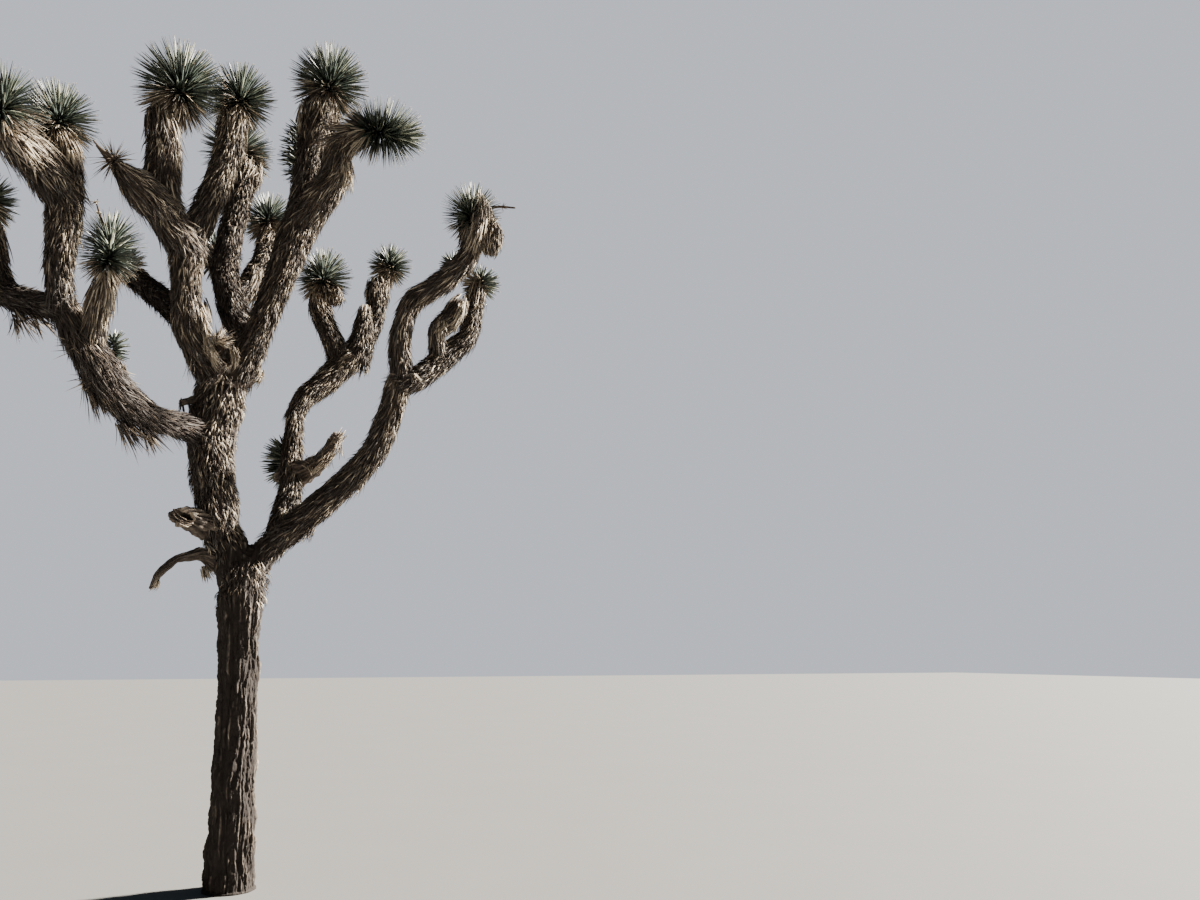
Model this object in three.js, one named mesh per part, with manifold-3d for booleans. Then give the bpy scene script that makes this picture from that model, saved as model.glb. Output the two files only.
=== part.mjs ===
// A mature joshua tree that stands in open desert. One trunk forks at head height into a stem and an
// east bough, the boughs fork again, and each living limb ends in a round head of dagger leaves.
// Millimetres, +Z up. The origin is the centre of the flat cut at ground level. -Y is the front of the
// tree, +X its east side, and the heads stand on all four sides of the trunk.

import * as THREE from "three";
import { mergeVertices } from "three/addons/utils/BufferGeometryUtils.js";
import Module from "manifold-3d";

const wasm = await Module();
wasm.setup();

// Clearance that is opened between two solids that touch, and the slivers that a cut may leave behind.
const CLEARANCE = 0.4;
const SLIVER = 0.05;

// Facets of a limb: sides round it, the distance between its rings, and the rings of its domed tip.
const LIMB_SIDES = 7;
const TRUNK_SIDES = 12;
const RING_STEP = 250;
const DOME_RINGS = 1;
const DOME_BULGE = 0.6;
const DOME_SWEEP = 0.9;

// How far the old dead leaves and the knuckles push a limb's girth in and out, as a share of it.
const LIMB_LUMP = 0.06;
const LUMP_LENGTH = 260;

// A living leaf is about this long, so a vigorous head has this radius round the tip of its limb.
const LEAF_REACH = 300;
const HEAD_DETAIL = 2;
const TUFT_DETAIL = 1;
const TUFT_VIGOUR = 0.45;
const HEAD_LUMP = 0.05;

// The hollow in the mouth of the old broken stub, and the rings of facets down its bowl.
const HOLLOW_RADIUS = 30;
const HOLLOW_DEPTH = 45;
const HOLLOW_RINGS = 3;

const materials = {
  bark: new THREE.MeshStandardMaterial({ color: 0x5a4a3e, roughness: 0.95, metalness: 0 }),
  thatch: new THREE.MeshStandardMaterial({ color: 0x8a7358, roughness: 0.95, metalness: 0 }),
  bare: new THREE.MeshStandardMaterial({ color: 0x6e5a48, roughness: 0.9, metalness: 0 }),
  living: new THREE.MeshStandardMaterial({ color: 0x66795a, roughness: 0.75, metalness: 0 }),
  dead: new THREE.MeshStandardMaterial({ color: 0xb59a72, roughness: 0.95, metalness: 0 }),
};

// Each limb names its skin, the bends that its centre line passes, from its root to its tip, and the
// radii that its girth runs through at even distances along it. A limb comes after the one it leaves.
const limbs = [
  {
    name: "trunk",
    skin: "bark",
    bends: [[0, 0, 0], [-30, 0, 700], [-50, 0, 1240], [-80, 0, 1800], [-90, 0, 2210]],
    radii: [180, 160, 148, 150, 202],
  },
  {
    name: "stem",
    skin: "bark",
    bends: [[-110, 0, 2100], [-250, -20, 2420], [-310, -30, 2650], [-375, -40, 3000], [-345, -50, 3530]],
    radii: [172, 133, 152, 170, 190],
  },
  {
    name: "west_bough_low",
    skin: "thatch",
    bends: [[-350, -40, 3120], [-570, -200, 3140], [-750, -350, 3145], [-880, -480, 3190]],
    radii: [122, 84, 112],
  },
  {
    name: "west_bough_high",
    skin: "thatch",
    bends: [[-880, -480, 3190], [-990, -570, 3275], [-1150, -680, 3510], [-1305, -760, 3755]],
    radii: [116, 130, 112, 86],
  },
  {
    name: "west_mast",
    skin: "thatch",
    bends: [[-1305, -760, 3755], [-1340, -780, 4000], [-1340, -810, 4270], [-1350, -840, 4440]],
    radii: [85, 88, 100, 120],
  },
  {
    name: "west_tip",
    skin: "thatch",
    bends: [[-1350, -840, 4430], [-1500, -950, 4600], [-1630, -1100, 4685]],
    radii: [122, 118, 98],
  },
  {
    name: "west_side",
    skin: "thatch",
    bends: [[-1340, -840, 4500], [-1380, -800, 4695], [-1445, -780, 4920]],
    radii: [98, 92, 74],
  },
  {
    name: "far_west_bough",
    skin: "thatch",
    bends: [[-1300, -760, 3720], [-1515, -600, 3795], [-1640, -500, 3850], [-1765, -420, 3965]],
    radii: [76, 82, 98],
  },
  {
    name: "far_west_mast",
    skin: "thatch",
    bends: [[-1765, -420, 3965], [-1830, -360, 4170], [-1895, -300, 4410]],
    radii: [95, 94, 82],
  },
  {
    name: "west_spur",
    skin: "thatch",
    bends: [[-1110, -690, 3530], [-1080, -840, 3675], [-1040, -980, 3860]],
    radii: [76, 73, 56],
  },
  {
    name: "middle_bough",
    skin: "thatch",
    bends: [[-345, -50, 3490], [-460, -100, 3640], [-590, -190, 3850], [-635, -280, 4130], [-645, -380, 4450]],
    radii: [134, 104, 100, 126],
  },
  {
    name: "middle_left",
    skin: "thatch",
    bends: [[-640, -380, 4400], [-780, -450, 4570], [-840, -500, 4775], [-850, -520, 5070], [-910, -500, 5380]],
    radii: [118, 128, 119, 90],
  },
  {
    name: "middle_stub",
    skin: "thatch",
    bends: [[-810, -480, 4620], [-900, -600, 4660], [-1000, -750, 4690], [-1160, -970, 4755]],
    radii: [120, 132, 112, 46, 18],
  },
  {
    name: "middle_right",
    skin: "thatch",
    bends: [[-640, -380, 4440], [-545, -340, 4795], [-450, -280, 5260], [-430, -260, 5640]],
    radii: [106, 98, 106, 94],
  },
  {
    name: "back_west_limb",
    skin: "thatch",
    bends: [[-590, -190, 3870], [-700, 130, 4090], [-1000, 700, 4475], [-1180, 950, 4670]],
    radii: [92, 97, 80],
  },
  {
    name: "high_bough",
    skin: "thatch",
    bends: [[-305, -20, 3500], [-185, -30, 3770], [-35, -80, 4285], [85, -120, 4755], [145, -140, 4945]],
    radii: [138, 108, 104, 130, 148],
  },
  {
    name: "high_left",
    skin: "thatch",
    bends: [[130, -120, 4900], [145, -100, 5220], [187, -50, 5795], [220, -30, 6050]],
    radii: [134, 126, 124, 138, 108],
  },
  {
    name: "high_right",
    skin: "thatch",
    bends: [[150, -160, 4900], [275, -300, 5090], [355, -380, 5210], [370, -400, 5330]],
    radii: [130, 130, 88],
  },
  {
    name: "high_arm",
    skin: "thatch",
    bends: [[290, -310, 5120], [353, -450, 5360], [431, -520, 5457], [569, -620, 5481]],
    radii: [94, 106, 70],
  },
  {
    name: "high_back_limb",
    skin: "thatch",
    bends: [[110, -110, 4830], [117, 200, 5190], [125, 400, 5570], [135, 500, 5870]],
    radii: [88, 80, 62],
  },
  {
    name: "back_stem",
    skin: "thatch",
    bends: [[-260, -10, 3620], [-200, 60, 3860], [-300, 190, 4120], [-425, 420, 4600], [-350, 800, 5790]],
    radii: [108, 110, 105, 104, 112],
  },
  {
    name: "back_left",
    skin: "thatch",
    bends: [[-410, 400, 4480], [-470, 600, 4685], [-515, 800, 4870]],
    radii: [74, 62],
  },
  {
    name: "back_east",
    skin: "thatch",
    bends: [[-330, 330, 4320], [-225, 600, 4630], [-150, 900, 4975], [-130, 1150, 5285]],
    radii: [82, 94, 86],
  },
  {
    name: "east_bough_low",
    skin: "bark",
    bends: [[-50, 0, 2130], [45, -20, 2280], [140, -60, 2390], [300, -130, 2530], [600, -260, 2820]],
    radii: [132, 104, 100, 100],
  },
  {
    name: "east_bough_high",
    skin: "thatch",
    bends: [[600, -260, 2820], [745, -350, 3015], [832, -420, 3260], [900, -500, 3600]],
    radii: [100, 99, 92, 98],
  },
  {
    name: "east_inner_low",
    skin: "thatch",
    bends: [[900, -500, 3595], [873, -560, 3870], [937, -620, 4130], [1070, -660, 4245]],
    radii: [83, 79, 84],
  },
  {
    name: "east_inner_high",
    skin: "thatch",
    bends: [[1070, -660, 4245], [1200, -700, 4355], [1305, -720, 4480], [1357, -750, 4640], [1325, -800, 4800]],
    radii: [84, 82, 84],
  },
  {
    name: "east_outer",
    skin: "thatch",
    bends: [[900, -500, 3525], [1033, -460, 3600], [1310, -340, 3890], [1430, -300, 4025], [1545, -120, 4580]],
    radii: [90, 92, 88, 76, 62],
  },
  {
    name: "east_curl",
    skin: "thatch",
    bends: [[1190, -400, 3780], [1160, -460, 3900], [1165, -480, 4000], [1250, -480, 4080], [1355, -460, 4300]],
    radii: [62, 60, 88, 92, 62],
  },
  {
    name: "inner_bough_low",
    skin: "thatch",
    bends: [[140, -60, 2440], [195, 120, 2750], [195, 320, 3055], [198, 520, 3490]],
    radii: [98, 90, 78, 70],
  },
  {
    name: "inner_bough_high",
    skin: "thatch",
    bends: [[198, 520, 3470], [275, 580, 3655], [400, 640, 3790], [640, 760, 4110]],
    radii: [72, 96, 112, 128],
  },
  {
    name: "inner_west_limb",
    skin: "thatch",
    bends: [[545, 710, 4010], [480, 780, 4220], [345, 920, 4580], [345, 1000, 4755]],
    radii: [100, 92, 86, 72],
  },
  {
    name: "inner_knob",
    skin: "thatch",
    bends: [[690, 760, 4140], [725, 820, 4360], [742, 890, 4630]],
    radii: [126, 92, 64],
  },
  {
    name: "inner_east_limb",
    skin: "thatch",
    bends: [[770, 850, 4300], [840, 950, 4565], [856, 1040, 4780], [865, 1120, 4990]],
    radii: [72, 90, 102],
  },
  {
    name: "broken_spar",
    skin: "bare",
    bends: [[195, 290, 2900], [350, 120, 2970], [420, 20, 3035], [490, -80, 3155]],
    radii: [120, 86, 60, 52],
  },
  {
    name: "stub_hollow",
    skin: "bare",
    bends: [[-300, -20, 2450], [-420, -100, 2480], [-590, -235, 2500]],
    radii: [104, 84, 44],
  },
  {
    name: "stub_crooked",
    skin: "bare",
    bends: [[-250, -20, 2200], [-385, -100, 2245], [-520, -200, 2195], [-622, -280, 2077], [-637, -300, 1985]],
    radii: [84, 48, 31, 30, 22],
  },
  {
    name: "stub_torn",
    skin: "bare",
    bends: [[-420, -40, 3410], [-530, -120, 3357], [-605, -180, 3310]],
    radii: [54, 36],
  },
];

// Each mass of leaves: its centre, how vigorous it is, and its longer axis with the stretch along it.
const heads = [
  { name: "head_west_tip", centre: [-1700, -1150, 4860], vigour: 0.87 },
  { name: "head_west_side", centre: [-1470, -780, 5030], vigour: 0.85 },
  { name: "head_west_spur", centre: [-1030, -1000, 4075], vigour: 0.71, axis: [0, 0, 1], stretch: 1.2 },
  { name: "head_far_west", centre: [-1945, -250, 4610], vigour: 0.7 },
  { name: "head_back_west", centre: [-1260, 1050, 4800], vigour: 0.63 },
  { name: "tuft_west", centre: [-1015, -520, 3555], vigour: 0.36, axis: [0, 0, 1], stretch: 1.3 },
  { name: "head_middle_left", centre: [-795, -500, 5620], vigour: 1.08 },
  { name: "head_middle_right", centre: [-405, -250, 5775], vigour: 0.9 },
  { name: "head_back_stem", centre: [-460, 850, 6030], vigour: 0.98 },
  { name: "head_back_left", centre: [-510, 850, 4940], vigour: 0.68 },
  { name: "head_back_east", centre: [-155, 1200, 5485], vigour: 0.85 },
  { name: "head_high_left", centre: [255, -20, 6225], vigour: 1.06 },
  { name: "head_high_arm", centre: [670, -650, 5485], vigour: 0.88, axis: [1, 0, 0], stretch: 1.2 },
  { name: "head_high_back", centre: [105, 500, 5800], vigour: 0.52, axis: [0, 0, 1], stretch: 1.85 },
  { name: "head_east_inner", centre: [1325, -820, 4845], vigour: 0.77 },
  { name: "tuft_east", centre: [1240, -600, 4495], vigour: 0.37 },
  { name: "head_east_outer", centre: [1577, -100, 4590], vigour: 0.56 },
  { name: "head_inner_west", centre: [360, 1000, 4915], vigour: 0.89 },
  { name: "head_inner_east", centre: [975, 1180, 5200], vigour: 0.71 },
  { name: "tuft_inner", centre: [135, 500, 3080], vigour: 0.43 },
  { name: "skirt_east_inner", skin: "dead", centre: [1480, -840, 4655], vigour: 0.31, stretch: 1.4 },
  {
    name: "crotch_rosette",
    skin: "dead",
    centre: [-375, -120, 3805],
    vigour: 0.45,
    axis: [-0.4, 0, 1],
    stretch: 1.3,
  },
];

// A value that runs evenly through a list, at a share of the way from its first entry to its last.
function along(list, share) {
  const place = THREE.MathUtils.clamp(share, 0, 1) * (list.length - 1);
  const before = Math.min(Math.floor(place), list.length - 2);
  return THREE.MathUtils.lerp(list[before], list[before + 1], place - before);
}

// An uneven surface: a smooth wave over a direction round the limb or head and a distance along it.
function unevenness(seed, angle, distance) {
  const slow = Math.sin(2 * angle + 1.7 * seed + distance);
  const quick = Math.sin(3 * angle - 2.3 * seed + 2.1 * distance);
  return 0.6 * slow + 0.4 * quick;
}

function toSolid(geometry) {
  geometry.deleteAttribute("normal");
  geometry.deleteAttribute("uv");
  const merged = mergeVertices(geometry);
  const vertProperties = merged.attributes.position.array;
  const triVerts = new Uint32Array(merged.index.array);
  return new wasm.Manifold(new wasm.Mesh({ numProp: 3, vertProperties, triVerts }));
}

// A closed tube along a limb's bends, grown by extra all round. Its tip is domed, and the trunk's foot
// is cut flat at ground level.
function limbSolid(limb, seed, extra) {
  const path = new THREE.CatmullRomCurve3(limb.bends.map((bend) => new THREE.Vector3(...bend)));
  const length = path.getLength();
  const rings = Math.max(2, Math.round(length / RING_STEP));
  const isTrunk = limb.name === "trunk";
  const sides = isTrunk ? TRUNK_SIDES : LIMB_SIDES;
  const frames = path.computeFrenetFrames(rings);
  const tube = new THREE.CylinderGeometry(1, 1, 1, sides, rings + DOME_RINGS);
  const vertices = tube.attributes.position;
  const spoke = new THREE.Vector3();
  for (let i = 0; i < vertices.count; i += 1) {
    const ring = Math.round((vertices.getY(i) + 0.5) * (rings + DOME_RINGS));
    const station = Math.min(ring, rings);
    const isCentre = Math.hypot(vertices.getX(i), vertices.getZ(i)) < 0.5;
    const angle = Math.atan2(vertices.getX(i), vertices.getZ(i));
    const sweep = isCentre && ring > 0 ? Math.PI / 2 : (DOME_SWEEP * (ring - station)) / DOME_RINGS;
    const lump = LIMB_LUMP * unevenness(seed, angle, (length * station) / rings / LUMP_LENGTH);
    const girth = along(limb.radii, station / rings) * (1 + lump) + extra;
    const tip = along(limb.radii, 1) * DOME_BULGE + extra;
    spoke
      .copy(frames.normals[station])
      .multiplyScalar(vertices.getZ(i))
      .addScaledVector(frames.binormals[station], vertices.getX(i))
      .multiplyScalar(girth * Math.cos(sweep))
      .addScaledVector(frames.tangents[station], tip * Math.sin(sweep))
      .add(path.getPointAt(station / rings));
    if (ring === 0) spoke.addScaledVector(frames.tangents[0], -extra);
    if (isTrunk && ring === 0) spoke.z = 0;
    vertices.setXYZ(i, spoke.x, spoke.y, spoke.z);
  }
  return toSolid(tube);
}

// A closed uneven ball for one mass of leaves, stretched along its axis and grown by extra all round.
function headSolid({ centre, vigour, axis = [0, 0, 1], stretch = 1 }, seed, extra) {
  const ball = new THREE.IcosahedronGeometry(1, vigour > TUFT_VIGOUR ? HEAD_DETAIL : TUFT_DETAIL);
  const vertices = ball.attributes.position;
  const longAxis = new THREE.Vector3(...axis).normalize();
  const spoke = new THREE.Vector3();
  for (let i = 0; i < vertices.count; i += 1) {
    spoke.fromBufferAttribute(vertices, i);
    const lump = HEAD_LUMP * unevenness(seed, Math.atan2(spoke.y, spoke.x), 2 * spoke.z);
    const reach = LEAF_REACH * vigour;
    spoke.multiplyScalar(reach * (1 + lump) + extra);
    spoke.addScaledVector(longAxis, (stretch - 1) * spoke.dot(longAxis));
    vertices.setXYZ(i, centre[0] + spoke.x, centre[1] + spoke.y, centre[2] + spoke.z);
  }
  return toSolid(ball);
}

// The old broken stub is hollow at its mouth, where the soft wood has rotted out.
function hollowOut(solid, limb) {
  const tip = new THREE.Vector3(...limb.bends.at(-1));
  const inward = new THREE.Vector3(...limb.bends.at(-2)).sub(tip).normalize();
  const rim = new THREE.Vector3().copy(tip).addScaledVector(inward, -along(limb.radii, 1) * DOME_BULGE);
  const bowl = new THREE.SphereGeometry(HOLLOW_RADIUS, LIMB_SIDES, HOLLOW_RINGS);
  bowl.scale(1, HOLLOW_DEPTH / HOLLOW_RADIUS, 1);
  bowl.applyQuaternion(new THREE.Quaternion().setFromUnitVectors(new THREE.Vector3(0, 1, 0), inward));
  bowl.translate(rim.x, rim.y, rim.z);
  return solid.subtract(toSolid(bowl));
}

function largestPiece(solid) {
  return solid.decompose().reduce((a, b) => (a.volume() > b.volume() ? a : b)).simplify(SLIVER);
}

function boxesMeet(a, b) {
  const [p, q] = [a.boundingBox(), b.boundingBox()];
  return [0, 1, 2].every((i) => p.min[i] <= q.max[i] && q.min[i] <= p.max[i]);
}

function toMesh(solid, name, skin) {
  const { vertProperties, triVerts } = solid.getMesh();
  const geometry = new THREE.BufferGeometry();
  geometry.setAttribute("position", new THREE.BufferAttribute(vertProperties, 3));
  geometry.setIndex(new THREE.BufferAttribute(triVerts, 1));
  geometry.computeVertexNormals();
  const mesh = new THREE.Mesh(geometry, materials[skin]);
  mesh.name = name;
  return mesh;
}

const tree = new THREE.Group();

// The masses stay whole where a limb enters them, so every limb ends at its head. After them each limb
// is cut back to the limbs before it, which is how a bough sits against the one it grew from.
const taken = [];
function place(spec, skin, build) {
  const seed = taken.length;
  let solid = build(spec, seed, 0);
  if (spec.name === "stub_hollow") solid = hollowOut(solid, spec);
  for (const grown of taken) {
    if (boxesMeet(solid, grown)) solid = solid.subtract(grown);
  }
  tree.add(toMesh(largestPiece(solid), spec.name, skin));
  taken.push(build(spec, seed, CLEARANCE));
}

for (const head of heads) place(head, head.skin ?? "living", headSolid);
for (const limb of limbs) place(limb, limb.skin, limbSolid);

export default tree;
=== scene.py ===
"""Joshua tree: the looks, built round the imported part.

Furrowed bark covers the trunk, the stem and the low east bough. The other limbs are cloaked in dead leaves
that lie back along them, and every living limb ends in a round head of stiff leaves. Lengths are in
metres, in the part's own frame: +Z up the tree, -Y its front, +X its east side.
"""

import math
from typing import NamedTuple

import bmesh
import bpy
import numpy as np
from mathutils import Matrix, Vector, noise


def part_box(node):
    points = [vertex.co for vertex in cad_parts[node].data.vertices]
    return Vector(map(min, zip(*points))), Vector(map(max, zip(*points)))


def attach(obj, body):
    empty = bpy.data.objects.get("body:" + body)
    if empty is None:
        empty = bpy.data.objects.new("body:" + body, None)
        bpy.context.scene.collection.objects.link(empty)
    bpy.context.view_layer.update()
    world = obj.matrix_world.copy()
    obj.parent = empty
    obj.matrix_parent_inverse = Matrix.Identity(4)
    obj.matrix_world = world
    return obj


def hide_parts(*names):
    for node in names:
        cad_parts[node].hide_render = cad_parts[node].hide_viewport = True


bl_info = {
    "name": "Joshua tree",
    "version": (1, 0, 0),
    "blender": (4, 5, 0),
    "location": "View3D > Sidebar > Joshua tree",
    "description": "Builds the bark, dead leaves and living heads of a mature joshua tree",
    "category": "Add Mesh",
}

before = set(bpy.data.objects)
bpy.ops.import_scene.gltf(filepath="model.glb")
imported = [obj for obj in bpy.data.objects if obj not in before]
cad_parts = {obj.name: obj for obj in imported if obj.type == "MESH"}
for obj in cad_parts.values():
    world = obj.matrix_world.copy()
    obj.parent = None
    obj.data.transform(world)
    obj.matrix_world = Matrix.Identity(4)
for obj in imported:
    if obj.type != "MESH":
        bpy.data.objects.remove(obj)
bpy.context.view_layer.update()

GOLDEN_ANGLE = math.pi * (3 - math.sqrt(5))


class Limb(NamedTuple):
    """A limb of the part: the points it bends through, its radii at even steps along it, and how
    sharply it bends, from a smooth curve at 0 to straight pieces at 1."""
    name: str
    family: str
    bends: list
    radii: list
    kink: float = 0.0


class Head(NamedTuple):
    """A mass of leaves of the part: its centre, its vigour, and the stretch along its longer axis."""
    name: str
    family: str
    limb: str
    centre: tuple
    vigour: float
    axis: tuple = (0, 0, 1)
    stretch: float = 1.0


# The limbs, as the part has them
LIMBS = [
    Limb("trunk", "bark",
         [(0, 0, 0), (-0.03, 0, 0.7), (-0.05, 0, 1.24), (-0.08, 0, 1.8), (-0.09, 0, 2.21)],
         [0.18, 0.16, 0.148, 0.15, 0.202]),
    Limb("stem", "bark",
         [(-0.11, 0, 2.1), (-0.25, -0.02, 2.42), (-0.31, -0.03, 2.65), (-0.375, -0.04, 3),
          (-0.345, -0.05, 3.53)],
         [0.172, 0.133, 0.152, 0.17, 0.19]),
    Limb("east_bough_low", "bark",
         [(-0.05, 0, 2.13), (0.045, -0.02, 2.28), (0.14, -0.06, 2.39), (0.3, -0.13, 2.53),
          (0.6, -0.26, 2.82)],
         [0.132, 0.104, 0.1, 0.1]),
    Limb("west_bough_low", "west",
         [(-0.35, -0.04, 3.12), (-0.57, -0.2, 3.14), (-0.75, -0.35, 3.145), (-0.88, -0.48, 3.19)],
         [0.122, 0.084, 0.112]),
    Limb("west_bough_high", "west",
         [(-0.88, -0.48, 3.19), (-0.99, -0.57, 3.275), (-1.15, -0.68, 3.51), (-1.305, -0.76, 3.755)],
         [0.116, 0.13, 0.112, 0.086]),
    Limb("west_mast", "west",
         [(-1.305, -0.76, 3.755), (-1.34, -0.78, 4), (-1.34, -0.81, 4.27), (-1.35, -0.84, 4.44)],
         [0.085, 0.088, 0.1, 0.12]),
    Limb("west_tip", "west",
         [(-1.35, -0.84, 4.43), (-1.5, -0.95, 4.6), (-1.63, -1.1, 4.685)],
         [0.122, 0.118, 0.098]),
    Limb("west_side", "west",
         [(-1.34, -0.84, 4.5), (-1.38, -0.8, 4.695), (-1.445, -0.78, 4.92)],
         [0.098, 0.092, 0.074]),
    Limb("far_west_bough", "west",
         [(-1.3, -0.76, 3.72), (-1.515, -0.6, 3.795), (-1.64, -0.5, 3.85), (-1.765, -0.42, 3.965)],
         [0.076, 0.082, 0.098]),
    Limb("far_west_mast", "west",
         [(-1.765, -0.42, 3.965), (-1.83, -0.36, 4.17), (-1.895, -0.3, 4.41)],
         [0.095, 0.094, 0.082]),
    Limb("west_spur", "west",
         [(-1.11, -0.69, 3.53), (-1.08, -0.84, 3.675), (-1.04, -0.98, 3.86)],
         [0.076, 0.073, 0.056]),
    Limb("middle_bough", "middle",
         [(-0.345, -0.05, 3.49), (-0.46, -0.1, 3.64), (-0.59, -0.19, 3.85), (-0.635, -0.28, 4.13),
          (-0.645, -0.38, 4.45)],
         [0.134, 0.104, 0.1, 0.126]),
    Limb("middle_left", "middle",
         [(-0.64, -0.38, 4.4), (-0.78, -0.45, 4.57), (-0.84, -0.5, 4.775), (-0.85, -0.52, 5.07),
          (-0.91, -0.5, 5.38)],
         [0.118, 0.128, 0.119, 0.09]),
    Limb("middle_stub", "middle",
         [(-0.81, -0.48, 4.62), (-0.9, -0.6, 4.66), (-1, -0.75, 4.69), (-1.16, -0.97, 4.755)],
         [0.12, 0.132, 0.112, 0.046, 0.018]),
    Limb("middle_right", "middle",
         [(-0.64, -0.38, 4.44), (-0.545, -0.34, 4.795), (-0.45, -0.28, 5.26), (-0.43, -0.26, 5.64)],
         [0.106, 0.098, 0.106, 0.094]),
    Limb("back_west_limb", "middle",
         [(-0.59, -0.19, 3.87), (-0.7, 0.13, 4.09), (-1, 0.7, 4.475), (-1.18, 0.95, 4.67)],
         [0.092, 0.097, 0.08]),
    Limb("high_bough", "high",
         [(-0.305, -0.02, 3.5), (-0.185, -0.03, 3.77), (-0.035, -0.08, 4.285), (0.085, -0.12, 4.755),
          (0.145, -0.14, 4.945)],
         [0.138, 0.108, 0.104, 0.13, 0.148]),
    Limb("high_left", "high",
         [(0.13, -0.12, 4.9), (0.145, -0.1, 5.22), (0.187, -0.05, 5.795), (0.22, -0.03, 6.05)],
         [0.134, 0.126, 0.124, 0.138, 0.108]),
    Limb("high_right", "high",
         [(0.15, -0.16, 4.9), (0.275, -0.3, 5.09), (0.355, -0.38, 5.21), (0.37, -0.4, 5.33)],
         [0.13, 0.13, 0.088]),
    Limb("high_arm", "high",
         [(0.29, -0.31, 5.12), (0.353, -0.45, 5.36), (0.431, -0.52, 5.457), (0.569, -0.62, 5.481)],
         [0.094, 0.106, 0.07]),
    Limb("high_back_limb", "high",
         [(0.11, -0.11, 4.83), (0.117, 0.2, 5.19), (0.125, 0.4, 5.57), (0.135, 0.5, 5.87)],
         [0.088, 0.08, 0.062]),
    Limb("back_stem", "back",
         [(-0.26, -0.01, 3.62), (-0.2, 0.06, 3.86), (-0.3, 0.19, 4.12), (-0.425, 0.42, 4.6),
          (-0.35, 0.8, 5.79)],
         [0.108, 0.11, 0.105, 0.104, 0.112]),
    Limb("back_left", "back",
         [(-0.41, 0.4, 4.48), (-0.47, 0.6, 4.685), (-0.515, 0.8, 4.87)],
         [0.074, 0.062]),
    Limb("back_east", "back",
         [(-0.33, 0.33, 4.32), (-0.225, 0.6, 4.63), (-0.15, 0.9, 4.975), (-0.13, 1.15, 5.285)],
         [0.082, 0.094, 0.086]),
    Limb("east_bough_high", "east",
         [(0.6, -0.26, 2.82), (0.745, -0.35, 3.015), (0.832, -0.42, 3.26), (0.9, -0.5, 3.6)],
         [0.1, 0.099, 0.092, 0.098]),
    Limb("east_inner_low", "east",
         [(0.9, -0.5, 3.595), (0.873, -0.56, 3.87), (0.937, -0.62, 4.13), (1.07, -0.66, 4.245)],
         [0.083, 0.079, 0.084]),
    Limb("east_inner_high", "east",
         [(1.07, -0.66, 4.245), (1.2, -0.7, 4.355), (1.305, -0.72, 4.48), (1.357, -0.75, 4.64),
          (1.325, -0.8, 4.8)],
         [0.084, 0.082, 0.084]),
    Limb("east_outer", "east",
         [(0.9, -0.5, 3.525), (1.033, -0.46, 3.6), (1.31, -0.34, 3.89), (1.43, -0.3, 4.025),
          (1.545, -0.12, 4.58)],
         [0.09, 0.092, 0.088, 0.076, 0.062]),
    Limb("east_curl", "east",
         [(1.19, -0.4, 3.78), (1.16, -0.46, 3.9), (1.165, -0.48, 4), (1.25, -0.48, 4.08),
          (1.355, -0.46, 4.3)],
         [0.062, 0.06, 0.088, 0.092, 0.062]),
    Limb("inner_bough_low", "inner",
         [(0.14, -0.06, 2.44), (0.195, 0.12, 2.75), (0.195, 0.32, 3.055), (0.198, 0.52, 3.49)],
         [0.098, 0.09, 0.078, 0.07]),
    Limb("inner_bough_high", "inner",
         [(0.198, 0.52, 3.47), (0.275, 0.58, 3.655), (0.4, 0.64, 3.79), (0.64, 0.76, 4.11)],
         [0.072, 0.096, 0.112, 0.128]),
    Limb("inner_west_limb", "inner",
         [(0.545, 0.71, 4.01), (0.48, 0.78, 4.22), (0.345, 0.92, 4.58), (0.345, 1, 4.755)],
         [0.1, 0.092, 0.086, 0.072]),
    Limb("inner_knob", "inner",
         [(0.69, 0.76, 4.14), (0.725, 0.82, 4.36), (0.742, 0.89, 4.63)],
         [0.126, 0.092, 0.064]),
    Limb("inner_east_limb", "inner",
         [(0.77, 0.85, 4.3), (0.84, 0.95, 4.565), (0.856, 1.04, 4.78), (0.865, 1.12, 4.99)],
         [0.072, 0.09, 0.102]),
    Limb("broken_spar", "broken",
         [(0.195, 0.29, 2.9), (0.35, 0.12, 2.97), (0.42, 0.02, 3.035), (0.49, -0.08, 3.155)],
         [0.12, 0.086, 0.06, 0.052]),
    Limb("stub_hollow", "broken",
         [(-0.3, -0.02, 2.45), (-0.42, -0.1, 2.48), (-0.59, -0.235, 2.5)],
         [0.104, 0.084, 0.044]),
    Limb("stub_crooked", "broken",
         [(-0.25, -0.02, 2.2), (-0.385, -0.1, 2.245), (-0.52, -0.2, 2.195), (-0.622, -0.28, 2.077),
          (-0.637, -0.3, 1.985)],
         [0.084, 0.048, 0.031, 0.03, 0.022], kink=0.85),
    Limb("stub_torn", "broken",
         [(-0.42, -0.04, 3.41), (-0.53, -0.12, 3.357), (-0.605, -0.18, 3.31)],
         [0.054, 0.036]),
]

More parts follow.
